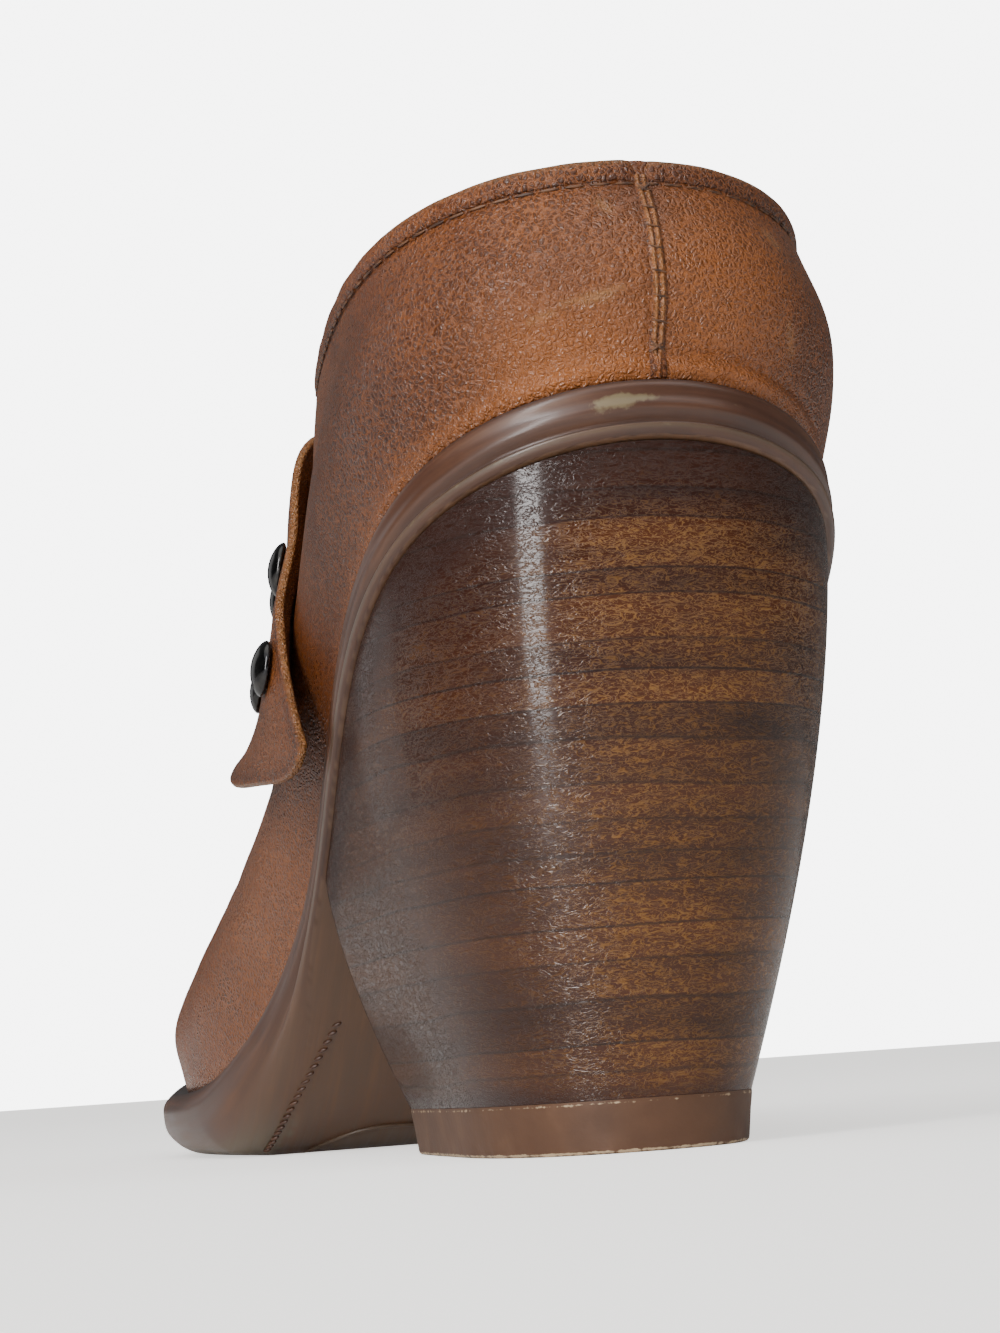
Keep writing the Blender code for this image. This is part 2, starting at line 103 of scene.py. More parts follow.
def toWorld(points):
    points = np.asarray(points, float)
    moved = (points[..., 1] + acrossShift, alongShift - points[..., 0], points[..., 2])
    return np.stack(moved, -1) * 0.001


def smoothThrough(xs, ys):  # natural cubic spline, straight beyond its ends
    xs, ys = np.asarray(xs, float), np.asarray(ys, float)
    step = np.diff(xs)
    slope = np.diff(ys) / step
    count = len(xs)
    system, right = np.eye(count), np.zeros(count)
    for i in range(1, count - 1):
        system[i, i - 1:i + 2] = step[i - 1], 2 * (step[i - 1] + step[i]), step[i]
        right[i] = 6 * (slope[i] - slope[i - 1])
    bend = np.linalg.solve(system, right)

    def value(x):
        x = np.asarray(x, float)
        i = np.clip(np.searchsorted(xs, x) - 1, 0, count - 2)
        inside = np.clip(x, xs[0], xs[-1])
        a = (xs[i + 1] - inside) / step[i]
        b = 1 - a
        curve = ((a**3 - a) * bend[i] + (b**3 - b) * bend[i + 1]) * step[i] ** 2 / 6
        tangent = slope[i] + step[i] / 6 * ((1 - 3 * a * a) * bend[i] + (3 * b * b - 1) * bend[i + 1])
        return a * ys[i] + b * ys[i + 1] + curve + tangent * (x - inside)

    return value


def ease(x, low, high):
    share = np.clip((np.asarray(x, float) - low) / (high - low), 0, 1)
    return share * share * (3 - 2 * share)


def bell(x, width):  # soft hump, 1 in the middle
    return np.exp(-(np.asarray(x, float) / width) ** 2)


def hump(x, size, middle, width):
    return size * bell(np.asarray(x, float) - middle, width)


def unit(vectors):
    return vectors / np.maximum(np.linalg.norm(vectors, axis=-1, keepdims=True), 1e-9)


def blend(first, second, share):
    return first * (1 - share) + second * share


def raised(plan, height):
    return np.concatenate([plan, height[..., None]], -1)


def runLength(points, axis=0):  # length along a line of points, from 0
    steps = np.linalg.norm(np.diff(points, axis=axis), axis=-1)
    start = np.zeros_like(np.take(steps, [0], axis))
    return np.concatenate([start, np.cumsum(steps, axis)], axis)


footLength = last["toeTip"] - last["heelBack"]


def turnOf(along):  # station as a share of a half turn, so both ends come out round
    share = np.clip((np.asarray(along, float) - last["heelBack"]) / footLength, 0, 1)
    return np.arccos(1 - 2 * share) / math.pi


def alongOf(turn):
    return last["heelBack"] + footLength * (1 - np.cos(math.pi * np.asarray(turn, float))) / 2


outline, profile, ridge = (np.array(last[k], float) for k in ("outline", "profile", "ridge"))
outerReach = smoothThrough(turnOf(outline[:, 0]), outline[:, 1])
innerReach = smoothThrough(turnOf(outline[:, 0]), outline[:, 2])
seatHeight = smoothThrough(profile[:, 0], profile[:, 1])
undersideCurve = smoothThrough(profile[:, 0], profile[:, 2])
ridgeAlong, ridgeHeight, fullness = (smoothThrough(turnOf(ridge[:, 0]), ridge[:, k]) for k in (1, 2, 3))
collarHeight = smoothThrough(*np.array(last["collar"], float).T)


def edgeAt(turn, side):
    reach = np.where(side > 0, outerReach(turn), innerReach(turn))
    return np.stack([alongOf(turn), side * reach], -1)


def outwardAt(turn, side):
    way = edgeAt(turn + 1e-4, side) - edgeAt(turn - 1e-4, side)
    return unit(np.stack([-way[..., 1] * side, way[..., 0] * side], -1))


def wallPoint(turn, rise, side):
    turn, rise, side = np.broadcast_arrays(np.asarray(turn, float), rise, side)
    along = alongOf(turn)
    foot = raised(edgeAt(turn, side), seatHeight(along))
    ridgePlace = ridgeAlong(turn)
    across = -last["toeSwing"] * ease(ridgePlace, last["swingFrom"], last["toeTip"])
    top = np.stack([ridgePlace, across, ridgeHeight(turn)], -1)
    angle = np.clip(rise, 0, 1) * math.pi / 2
    power = 2 / fullness(turn)
    inward = 1 - np.maximum(np.cos(angle), 0) ** power
    upward = np.sin(angle) ** power
    point = foot + (top - foot) * np.stack([inward, inward, upward], -1)
    swell = last["swell"] - last["swellLoss"] * ease(along, *last["swellFade"])
    bulge = np.sin(math.pi * np.minimum(upward / last["bulgeEnd"], 1)) ** 2
    point[..., :2] += outwardAt(turn, side) * (swell * bulge)[..., None]
    return point


def wallNormal(turn, rise, side):
    nudge = 2e-3
    base = np.clip(rise, nudge, 1 - 2 * nudge)
    along = wallPoint(turn + nudge, base, side) - wallPoint(turn - nudge, base, side)
    upward = wallPoint(turn, base + nudge, side) - wallPoint(turn, base - nudge, side)
    return unit(np.cross(upward, along) * np.asarray(side, float)[..., None])


def riseAt(turn, height):
    foot = seatHeight(alongOf(turn))
    share = np.clip((height - foot) / (ridgeHeight(turn) - foot), 0, 1)
    return np.arcsin(share ** (fullness(turn) / 2)) * 2 / math.pi


def onVamp(turn):
    return alongOf(turn) > last["throat"] - 1e-6


def wallEnd(turn, side):  # the collar behind the throat, the ridge before it
    rise = np.full(np.shape(turn), 0.5)
    for _ in range(40):
        rise = riseAt(turn, collarHeight(wallPoint(turn, rise, side)[..., 0]))
    return np.where(onVamp(turn), 1.0, rise)


def evenTurns(first, final, count, grading=0.0):
    # stations at even steps along the sole line, or closer together at the start
    fine = np.linspace(first, final, 2000)
    length = sum(runLength(edgeAt(fine, np.full(len(fine), side))) for side in (1.0, -1.0))
    share = np.linspace(0, 1, count + 1)
    share = blend(share, share**2, grading)
    return np.interp(share * length[-1], length, fine)


def gradedShares(count, sharpness):  # closer together at both ends
    share = np.linspace(0, 1, count + 1)
    return share - sharpness * np.sin(2 * math.pi * share) / (2 * math.pi)


def softNoise(points, size, seed=0.0):  # smooth noise of a grain size in mm
    flat = np.asarray(points, float).reshape(-1, 3) / size + seed
    values = [noise.noise(Vector(p)) for p in flat]
    return np.array(values).reshape(np.shape(points)[:-1])


def shapedGrid(mesh, columns, rows, shape):
    # a flat grid, bent by shape(column, row) into points in mm with any named values for the materials
    points, values = shape(*np.meshgrid(np.arange(columns + 1), np.arange(rows + 1), indexing="ij"))
    floats = mesh.verts.layers.float
    layers = [(floats.get(name) or floats.new(name), value) for name, value in values.items()]
    made = bmesh.ops.create_grid(mesh, x_segments=columns, y_segments=rows, size=1.0)["verts"]
    flat = np.array([vert.co for vert in made])
    i = np.rint((flat[:, 0] + 1) / 2 * columns).astype(int)
    j = np.rint((flat[:, 1] + 1) / 2 * rows).astype(int)
    for vert, spot in zip(made, toWorld(points)[i, j]):
        vert.co = spot
    for layer, value in layers:
        for vert, mark in zip(made, value[i, j]):
            vert[layer] = mark


def closeHoles(mesh):
    bmesh.ops.remove_doubles(mesh, verts=mesh.verts, dist=2e-5)
    bmesh.ops.holes_fill(mesh, edges=[edge for edge in mesh.edges if edge.is_boundary], sides=0)


def finishPiece(name, mesh, materials, replaced=(), smoothAngle=50, weld=2e-5, recalc=True):
    bmesh.ops.remove_doubles(mesh, verts=mesh.verts, dist=weld)
    bmesh.ops.dissolve_degenerate(mesh, edges=mesh.edges, dist=1e-7)
    if recalc:
        bmesh.ops.recalc_face_normals(mesh, faces=mesh.faces)
    data = bpy.data.meshes.new(name)
    mesh.to_mesh(data)
    mesh.free()
    data.shade_smooth()
    data.set_sharp_from_angle(angle=math.radians(smoothAngle))
    piece = bpy.data.objects.new(name, data)
    for material in materials:
        data.materials.append(material)
    bpy.context.scene.collection.objects.link(piece)
    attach(piece, "root")
    if replaced:
        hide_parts(*replaced)
    print(name, len(data.polygons), "faces")
    return piece


def thicken(piece, thickness):  # inwards, from the outer face
    wall = piece.modifiers.new("wall", "SOLIDIFY")
    wall.thickness = thickness * 0.001
    wall.offset = -1.0
    return wall


def linear(text):  # sRGB hex to linear
    channels = [int(text[k:k + 2], 16) / 255 for k in (1, 3, 5)]
    return tuple(c / 12.92 if c <= 0.04045 else ((c + 0.055) / 1.055) ** 2.4 for c in channels) + (1.0,)


def feed(tree, node, inputs):  # links what comes from another node and sets the rest
    for key, value in inputs.items():
        if isinstance(value, bpy.types.NodeSocket):
            tree.links.new(value, node.inputs[key])
        else:
            node.inputs[key].default_value = value


def addNode(tree, kind, inputs, stops=(), out=0, **settings):
    node = tree.nodes.new("ShaderNode" + kind)
    for key, value in settings.items():
        setattr(node, key, value)
    feed(tree, node, inputs)
    if stops:
        elements = node.color_ramp.elements
        while len(elements) < len(stops):
            elements.new(0.5)
        for element, (position, text) in zip(elements, stops):
            element.position = position
            element.color = linear(text)
    return node.outputs[out]


def newMaterial(name):
    material = bpy.data.materials.new(name)
    material.use_nodes = True
    tree = material.node_tree
    place = addNode(tree, "TexCoord", {}, out="Object")
    mm = addNode(tree, "VectorMath", {0: place, "Scale": 1000.0}, operation="SCALE")
    return material, tree, tree.nodes["Principled BSDF"], mm


def cognacLeather(name, shift):
    # goat leather, drum-milled and waxed: dark rounded pebbles about 0.75 mm apart with paler dye
    # in the folds between them, burnished patches mixed with painted shade, painted highlights and a satin
    # shine
    material, tree, shader, mm = newMaterial(name)
    wander = addNode(tree, "TexNoise", {"Vector": mm, "Scale": 1 / 1.4, "Detail": 2.0}, out="Color")
    centred = addNode(tree, "VectorMath", {0: wander, 1: shift}, operation="SUBTRACT")
    drift = addNode(tree, "VectorMath", {0: centred, "Scale": 1.3}, operation="SCALE")
    where = addNode(tree, "VectorMath", {0: mm, 1: drift}, operation="ADD")
    pebble = addNode(tree, "TexVoronoi", {"Vector": where, "Scale": 1 / 0.74}, feature="DISTANCE_TO_EDGE")
    cell = addNode(tree, "MapRange", {"Value": pebble, "From Max": 0.32}, interpolation_type="SMOOTHSTEP")
    curl = addNode(
        tree, "TexNoise", {"Vector": mm, "Scale": 1 / 1.0, "Detail": 3.0, "Roughness": 0.6, "Distortion": 0.9}
    )
    offset = addNode(tree, "Math", {0: curl, 1: 0.5}, operation="SUBTRACT")
    fold = addNode(tree, "Math", {0: offset}, operation="ABSOLUTE")
    furrow = addNode(tree, "MapRange", {"Value": fold, "From Max": 0.1}, interpolation_type="SMOOTHSTEP")
    dome = addNode(tree, "Mix", {0: 0.25, 2: cell, 3: furrow}, data_type="FLOAT")
    colour = addNode(tree, "ValToRGB", {"Fac": dome}, [(0.1, "#8c5023"), (0.45, "#6a3916"), (1.0, "#4b260d")])
    # dark patches and warm clouds: size in mm, detail, roughness, range, largest share, tone
    for size, detail, roughness, low, high, most, tone in (
        (16, 4.0, 0.6, 0.45, 0.72, 0.55, "#4a2210"),
        (42, 2.0, 0.5, 0.46, 0.7, 0.45, "#8c4a1c"),
    ):
        cloud = addNode(
            tree, "TexNoise", {"Vector": mm, "Scale": 1 / size, "Detail": detail, "Roughness": roughness}
        )
        share = addNode(tree, "MapRange", {"Value": cloud, "From Min": low, "From Max": high, "To Max": most})
        colour = addNode(tree, "Mix", {0: share, 6: colour, 7: linear(tone)}, out=2, data_type="RGBA")
    # darkened by burnish and by painted shade, lightened by painted highlights, pale scuffs and paler raw
    # edges
    for mark, tone in (("burnish", "#2f160c"), ("glow", "#a26030"), ("scuff", "#bd8f5e"), ("rim", "#9a6b3c")):
        value = addNode(tree, "Attribute", {}, out="Fac", attribute_name=mark)
        broken = addNode(tree, "Math", {0: value, 1: dome}, operation="MULTIPLY")
        share = addNode(tree, "Mix", {0: 0.45, 2: value, 3: broken}, data_type="FLOAT")
        colour = addNode(tree, "Mix", {0: share, 6: colour, 7: linear(tone)}, out=2, data_type="RGBA")
    sheen = addNode(tree, "TexNoise", {"Vector": mm, "Scale": 1 / 9, "Detail": 3.0})
    rough = addNode(
        tree, "MapRange", {"Value": sheen, "From Min": 0.3, "From Max": 0.7, "To Min": 0.4, "To Max": 0.54}
    )
    polish = addNode(tree, "Math", {0: dome, 1: -0.18, 2: rough}, operation="MULTIPLY_ADD")
    # the painted highlight spots are also made shinier
    highlightShine = addNode(tree, "Attribute", {}, out="Fac", attribute_name="glow")
    polish = addNode(tree, "Math", {0: highlightShine, 1: -0.27, 2: polish}, operation="MULTIPLY_ADD")
    pore = addNode(tree, "TexNoise", {"Vector": mm, "Scale": 1 / 0.35, "Detail": 3.0})
    height = addNode(tree, "Math", {0: pore, 1: 0.22, 2: dome}, operation="MULTIPLY_ADD")
    bump = addNode(tree, "Bump", {"Height": height, "Distance": 0.00024, "Strength": 0.85})
    feed(tree, shader, {"Base Color": colour, "Roughness": polish, "Normal": bump, "Coat Normal": bump})
    feed(tree, shader, {"Specular IOR Level": 0.25, "Coat Weight": 0.42, "Coat Roughness": 0.2})
    return material


def stackedLeather():
    # sole-leather layers sanded, stained and lacquered: curly pale fibres on dark brown,
    # thin dark joints about 4 mm apart and a deep gloss
    material, tree, shader, mm = newMaterial("stackedLeather")
    height = addNode(tree, "SeparateXYZ", {0: mm}, out="Z")
    uneven = addNode(tree, "TexNoise", {"W": height, "Scale": 1 / 9, "Detail": 1.0}, noise_dimensions="1D")
    bow = addNode(tree, "TexNoise", {"Vector": mm, "Scale": 1 / 32, "Detail": 1.0})
    level = addNode(tree, "Math", {0: uneven, 1: 5.0, 2: height}, operation="MULTIPLY_ADD")
    level = addNode(tree, "Math", {0: bow, 1: 2.4, 2: level}, operation="MULTIPLY_ADD")
    level = addNode(tree, "Math", {0: level, 1: 1 / 4.3}, operation="MULTIPLY")
    layer = addNode(tree, "Math", {0: level}, operation="FLOOR")
    nearest = addNode(tree, "Math", {0: level}, operation="ROUND")
    gap = addNode(tree, "Math", {0: level, 1: nearest}, operation="SUBTRACT")
    gap = addNode(tree, "Math", {0: gap}, operation="ABSOLUTE")
    line = addNode(
        tree, "MapRange", {"Value": gap, "From Min": 0.012, "From Max": 0.066, "To Min": 1.0, "To Max": 0.0}
    )
    tone = addNode(tree, "TexWhiteNoise", {"W": layer}, noise_dimensions="1D")
    seat = addNode(tree, "Math", {0: nearest, 1: 0.37}, operation="ADD")
    firm = addNode(tree, "TexWhiteNoise", {"W": seat}, noise_dimensions="1D")
    firm = addNode(tree, "MapRange", {"Value": firm, "To Min": 0.45, "To Max": 0.95})
    joint = addNode(tree, "Math", {0: line, 1: firm}, operation="MULTIPLY")
    flattened = addNode(tree, "Mapping", {"Vector": mm, "Scale": (1 / 2.7, 1 / 2.7, 1 / 0.95)})
    fibres = []
    for scale, edge in ((1.0, 0.047), (1.9, 0.036)):
        curl = addNode(
            tree, "TexNoise",
            {"Vector": flattened, "Scale": scale, "Detail": 2.0, "Roughness": 0.5, "Distortion": 1.8},
        )
        offset = addNode(tree, "Math", {0: curl, 1: 0.5}, operation="SUBTRACT")
        strand = addNode(tree, "Math", {0: offset}, operation="ABSOLUTE")
        bright = {"Value": strand, "From Max": edge, "To Min": 1.0, "To Max": 0.0}
        fibres.append(addNode(tree, "MapRange", bright))
    both = addNode(tree, "Math", {0: fibres[0], 1: fibres[1]}, operation="MAXIMUM")
    spread = addNode(tree, "Mapping", {"Vector": mm, "Scale": (1 / 22, 1 / 22, 1 / 4)})
    area = addNode(tree, "TexNoise", {"Vector": spread, "Scale": 1.0, "Detail": 3.0})
    areaShare = addNode(tree, "MapRange", {"Value": area, "From Min": 0.3, "From Max": 0.72})
    mixed = addNode(tree, "Mix", {0: 0.45, 2: areaShare, 3: tone}, data_type="FLOAT")
    colour = addNode(tree, "ValToRGB", {"Fac": mixed}, [(0.0, "#210b03"), (0.5, "#381804"), (1.0, "#50280c")])
    # darker ends, and painted shade that darkens the outer side
    dark = addNode(tree, "Attribute", {}, out="Fac", attribute_name="edgeDark")
    bare = addNode(tree, "Math", {0: 1.0, 1: dark}, operation="SUBTRACT")
    dense = addNode(tree, "MapRange", {"Value": mixed, "To Min": 0.15, "To Max": 1.0})
    fibreShare = addNode(tree, "Math", {0: both, 1: dense}, operation="MULTIPLY")
    fibreShare = addNode(tree, "Math", {0: fibreShare, 1: bare}, operation="MULTIPLY")
    for share, paint in ((fibreShare, "#8b602f"), (dark, "#2b140c"), (joint, "#200d05")):
        colour = addNode(tree, "Mix", {0: share, 6: colour, 7: linear(paint)}, out=2, data_type="RGBA")
    bump = addNode(tree, "Bump", {"Height": both, "Distance": 0.00006, "Strength": 0.7})
    soft = addNode(tree, "Bump", {"Height": both, "Distance": 0.00004, "Strength": 0.6})
    feed(tree, shader, {"Base Color": colour, "Roughness": 0.42, "Normal": bump, "Specular IOR Level": 0.06})
    feed(tree, shader, {"Coat Weight": 0.7, "Coat Roughness": 0.12, "Coat IOR": 1.5, "Coat Normal": soft})
    return material


def paintedSole():
    # moulded polyurethane with a brushed brown finish: purple-brown streaks under the shank, fine drawn
    # lines around the band, khaki moulding where the paint has rubbed off, and a paler tone under the shank
    # that is painted light
    material, tree, shader, mm = newMaterial("paintedSole")
    brushed = addNode(tree, "Mapping", {"Vector": mm, "Scale": (1 / 1.3, 1 / 34, 1 / 34)})
    streak = addNode(tree, "TexNoise", {"Vector": brushed, "Scale": 1.0, "Detail": 4.0, "Roughness": 0.65})
    cloud = addNode(tree, "TexNoise", {"Vector": mm, "Scale": 1 / 14, "Detail": 4.0})
    under, band, worn, tread, dark = (
        addNode(tree, "Attribute", {}, out="Fac", attribute_name=mark)
        for mark in ("under", "band", "worn", "tread", "edgeDark")
    )
    lineLevel = addNode(tree, "Math", {0: band, 1: 16 / 0.8}, operation="MULTIPLY")
    drawn = addNode(
        tree, "TexNoise", {"Vector": mm, "W": lineLevel, "Scale": 1 / 16, "Detail": 3.0},
        noise_dimensions="4D",
    )
    mottled = addNode(tree, "Mix", {0: 0.55, 2: cloud, 3: drawn}, data_type="FLOAT")
    pattern = addNode(tree, "Mix", {0: under, 2: mottled, 3: streak}, data_type="FLOAT")
    tones = [(0.25, "#341e14"), (0.5, "#492c1d"), (0.75, "#634029")]
    colour = addNode(tree, "ValToRGB", {"Fac": pattern}, tones)
    # painted light: a paler tone lifts the underside of the shank out of its shade
    paintedUnderLight = addNode(tree, "Math", {0: under, 1: 0.45}, operation="MULTIPLY")
    fray = addNode(tree, "TexNoise", {"Vector": mm, "Scale": 1 / 2.2, "Detail": 5.0, "Roughness": 0.65})
    frayed = addNode(tree, "Math", {0: fray, 1: worn}, operation="ADD")
    wornShare = addNode(tree, "MapRange", {"Value": frayed, "From Min": 0.98, "From Max": 1.16})
    moulding = addNode(tree, "ValToRGB", {"Fac": cloud}, [(0.3, "#62533b"), (0.7, "#7d6f52")])
    for share, tone in (
        (paintedUnderLight, linear("#785c45")),
        (wornShare, moulding),
        (tread, linear("#6b6250")),
        (dark, linear("#2c211f")),
    ):
        colour = addNode(tree, "Mix", {0: share, 6: colour, 7: tone}, out=2, data_type="RGBA")
    rough = addNode(
        tree, "MapRange", {"Value": pattern, "From Min": 0.3, "From Max": 0.7, "To Min": 0.34, "To Max": 0.5}
    )
    bump = addNode(tree, "Bump", {"Height": pattern, "Distance": 0.0001, "Strength": 0.6})
    feed(tree, shader, {"Base Color": colour, "Roughness": rough, "Normal": bump, "Coat Normal": bump})
    feed(tree, shader, {"Coat Weight": 0.2, "Coat Roughness": 0.16})
    return material


def liftRubber():
    # trimmed rubber top-piece: matte brown with a ragged pale burr where it was cut and worn
    material, tree, shader, mm = newMaterial("liftRubber")
    cloud = addNode(tree, "TexNoise", {"Vector": mm, "Scale": 1 / 5, "Detail": 5.0})
    base = addNode(tree, "ValToRGB", {"Fac": cloud}, [(0.3, "#4d311e"), (0.6, "#573924"), (0.8, "#63442d")])
    rim = addNode(tree, "Attribute", {}, out="Fac", attribute_name="rim")
    tear = addNode(tree, "TexNoise", {"Vector": mm, "Scale": 1 / 0.9, "Detail": 4.0})
    frayed = addNode(tree, "Math", {0: tear, 1: rim}, operation="ADD")
    share = addNode(tree, "MapRange", {"Value": frayed, "From Min": 1.0, "From Max": 1.15})
    colour = addNode(tree, "Mix", {0: share, 6: base, 7: linear("#b39b7c")}, out=2, data_type="RGBA")
    bump = addNode(tree, "Bump", {"Height": tear, "Distance": 0.00008, "Strength": 0.5})
    feed(tree, shader, {"Base Color": colour, "Roughness": 0.58, "Normal": bump})
    return material


def linedLeather(name, pale, deep, poreSize):
    # thin unglazed lining leather: even tan with fine pores and a dry surface
    material, tree, shader, mm = newMaterial(name)
    cloud = addNode(tree, "TexNoise", {"Vector": mm, "Scale": 1 / 20, "Detail": 5.0})
    base = addNode(tree, "ValToRGB", {"Fac": cloud}, [(0.3, deep), (0.7, pale)])
    pore = addNode(tree, "TexVoronoi", {"Vector": mm, "Scale": 1 / poreSize})
    bump = addNode(tree, "Bump", {"Height": pore, "Distance": 0.00006, "Strength": 0.5})
    feed(tree, shader, {"Base Color": base, "Roughness": 0.68, "Normal": bump})
    return material


def gunmetal():
    # turned brass with a dark nickel plate: nearly black mirror, slightly rubbed
    material, tree, shader, mm = newMaterial("gunmetal")
    rub = addNode(tree, "TexNoise", {"Vector": mm, "Scale": 1 / 1.2, "Detail": 4.0})
    base = addNode(tree, "ValToRGB", {"Fac": rub}, [(0.3, "#343436"), (0.7, "#4d4b49")])
    rough = addNode(
        tree, "MapRange", {"Value": rub, "From Min": 0.3, "From Max": 0.7, "To Min": 0.09, "To Max": 0.2}
    )
    feed(tree, shader, {"Base Color": base, "Roughness": rough, "Metallic": 1.0})
    return material


def waxedThread():
    # twisted polyester thread, waxed: dark brown with fine slanting strands 0.5 mm apart
    material, tree, shader, mm = newMaterial("waxedThread")
    strands = {"Vector": mm, "Scale": 1 / 0.5 / 6.28, "Distortion": 1.0}
    twist = addNode(tree, "TexWave", strands, out="Fac", bands_direction="DIAGONAL")
    base = addNode(tree, "ValToRGB", {"Fac": twist}, [(0.0, "#3b2417"), (1.0, "#654228")])
    feed(tree, shader, {"Base Color": base, "Roughness": 0.5})
    return material


upperLeather = cognacLeather("cognacLeather", (0.5, 0.5, 0.5))
strapLeather = cognacLeather("cognacStrapLeather", (0.42, 0.55, 0.5))
heelLeather, soleFinish, liftFinish = stackedLeather(), paintedSole(), liftRubber()
liningLeather = linedLeather("pigskinLining", "#b48a60", "#9a7049", 0.8)
sockLeather = linedLeather("sockLeather", "#a67c55", "#8a6341", 0.6)
studMetal, thread = gunmetal(), waxedThread()
print("materials made")

upperForm = {
    "columnsBack": 110,
    "columnsVamp": 120,
    "backGrading": 0.65,  # columns closer together at the back seam
    "rows": 64,
    "fineRows": 12,  # rows close together under the collar
    "fineStep": 0.4,
    "fineFade": 24.0,  # past the throat
    "wall": 1.75,
    "unevenness": 0.22,
    "crownReach": 16.0,
    "crownFade": 16.0,
    "crownPasses": 90,
    # relief: size, middle and width in mm, from the collar edge, from the back seam or up from the sole
    "stitchGroove": (-0.32, 3.2, 0.55),
    "seamGroove": (-0.12, 1.0, 0.45),
    "seamRunOut": (0.3, 0.0, 0.7),
    "tuck": (-0.35, 0.0, 1.1),
    "innerPleat": [(-0.5, 3.2, 0.7), (0.3, 1.9, 0.8)],
    "pleatSlope": 0.03,
    "drawnLip": (0.34, 1.4, 0.9),
    "lipPucker": 0.8,
    # where the relief starts and ends, in mm
    "smoothEdge": (1, 6),
    "backFade": (0, 10),
    "seamStart": (1, 4),
    "seamWearStart": (3, 6),
    "runOutEnd": (1.2, 2.0),
    "pleatStart": (1, 6),
    "pleatEnd": (20, 30),
    "pleatFade": (10, 26),
    "lipFade": (14, 34),
    # soft creases where the foot bends: along at the middle, lean to the side, bow, depth, width
    "flexCreases": [
        (126, 0.12, 0.004, 0.4, 2.6), (136, 0.03, 0.006, 0.6, 3.2), (147, -0.05, 0.008, 0.35, 2.8),
    ],
    "creaseMiddle": -6.0,
    "creaseFade": (26, 40),
    # burnished patches with painted shade that darkens the outer side, then painted highlight spots: along,
    # across, height, radius, strength
    "burnishSpots": [
        (-8, 4, 113, 6, 0.5), (-8, -4, 112, 5, 0.35), (-4, 17, 97, 12, 0.35), (8, 28, 92, 14, 0.3),
        (0, -22, 95, 11, 0.55), (-6, 9, 104, 9, 0.3), (28, 32, 84, 18, 0.4), (48, 33, 70, 16, 0.4),
        (20, 31, 104, 16, 0.35), (60, -30, 60, 18, 0.35), (30, 34, 96, 34, 0.38), (70, 34, 52, 34, 0.35),
        (30, -34, 92, 30, 0.25), (116, 40, 34, 34, 0.25), (205, -14, 28, 22, 0.35), (185, 22, 22, 16, 0.3),
        (185, -48, 22, 16, 0.3),
    ],
    "glowSpots": [
        (-6, 14, 95, 8, 0.6), (-9, 5, 95, 6, 0.3), (-9, -3, 106, 14, 0.3), (95, 36, 40, 20, 0.3),
        (-4, -12, 98, 9, 0.4), (110, -40, 34, 22, 0.3),
    ],
    # painted shade in the stitch groove, beside the seam and in the crease at the sole, then a painted
    # highlight just above the sole, along lines: size, middle, width
    "burnishAtStitches": (0.3, 3.1, 0.55),
    "burnishAtSeam": (0.4, 1.2, 0.9),
    "burnishAtSole": (0.5, 0.2, 0.6),
    "glowAtSole": (0.45, 0.0, 3.0),
    # pale rubs on the back: across and height of both ends, width
    "rubs": [
        ((11.5, 100.2), (4.5, 101.8), 0.35), ((9, 100.2), (6, 100.9), 0.5), ((15, 98.6), (12.5, 99.4), 0.35),
        ((-19, 99), (-19.5, 96), 0.5), ((-17, 111), (-18.4, 109.6), 0.7), ((5.8, 113), (5.0, 112), 0.6),
    ],
    "rubStrength": 0.26,
}
throatTurn = float(turnOf(last["throat"]))
halfTurns = np.concatenate(
    [
        evenTurns(0.0, throatTurn, upperForm["columnsBack"], upperForm["backGrading"]),
        evenTurns(throatTurn, 1.0, upperForm["columnsVamp"])[1:],
    ]
)
wallTurns = np.concatenate([halfTurns[::-1], halfTurns[1:]])  # inner toe, back, outer toe
wallSides = np.where(np.arange(len(wallTurns)) < len(halfTurns), -1.0, 1.0)
wallEnds = wallEnd(wallTurns, wallSides)
openColumns = np.flatnonzero(alongOf(wallTurns) < last["throat"] + 1e-6)
collarEdge = wallPoint(wallTurns, wallEnds, wallSides)[openColumns]


def distanceTo(points, path):
    parts = np.array_split(points.reshape(-1, 3), 40)
    nearest = [np.sqrt(((part[:, None] - path[None]) ** 2).sum(2).min(1)) for part in parts]
    return np.concatenate(nearest).reshape(points.shape[:-1])


def spots(points, table):
    total = np.zeros(points.shape[:-1])
    for along, across, height, radius, strength in table:
        total += hump(np.linalg.norm(points - (along, across, height), axis=-1), strength, 0, radius)
    return np.clip(total, 0, 1)


def rubbed(points, table):
    total = np.zeros(points.shape[:-1])
    flat = points[..., 1:]  # seen from behind
    for start, end, width in table:
        way = np.subtract(end, start)
        share = np.clip(((flat - start) @ way) / (way @ way), 0, 1)
        away = np.linalg.norm(flat - start - share[..., None] * way, axis=-1)
        total += hump(away, upperForm["rubStrength"], 0, width)
    return np.clip(total, 0, 1) * (points[..., 0] < 15)


def wallClimb():
    # rise of each grid point, with its way up from the sole in mm
    rows, fineRows = upperForm["rows"], upperForm["fineRows"]
    samples = np.linspace(0, 1, 260) ** 2.2
    climbs = runLength(wallPoint(wallTurns[:, None], wallEnds[:, None] * samples, wallSides[:, None]), 1)
    collared = 1 - ease(alongOf(wallTurns), last["throat"], last["throat"] + upperForm["fineFade"])
    rises = np.zeros((len(climbs), rows + 1))
    climb = np.zeros_like(rises)
    for c, length in enumerate(climbs[:, -1]):
        fine = length - upperForm["fineStep"] * np.arange(fineRows, -1, -1)
        close = np.concatenate([np.linspace(0, fine[0], rows - fineRows + 1)[:-1], fine])
        climb[c] = blend(np.linspace(0, length, rows + 1), close, collared[c])
        rises[c] = np.interp(climb[c], climbs[c], wallEnds[c] * samples)
    return rises, climb


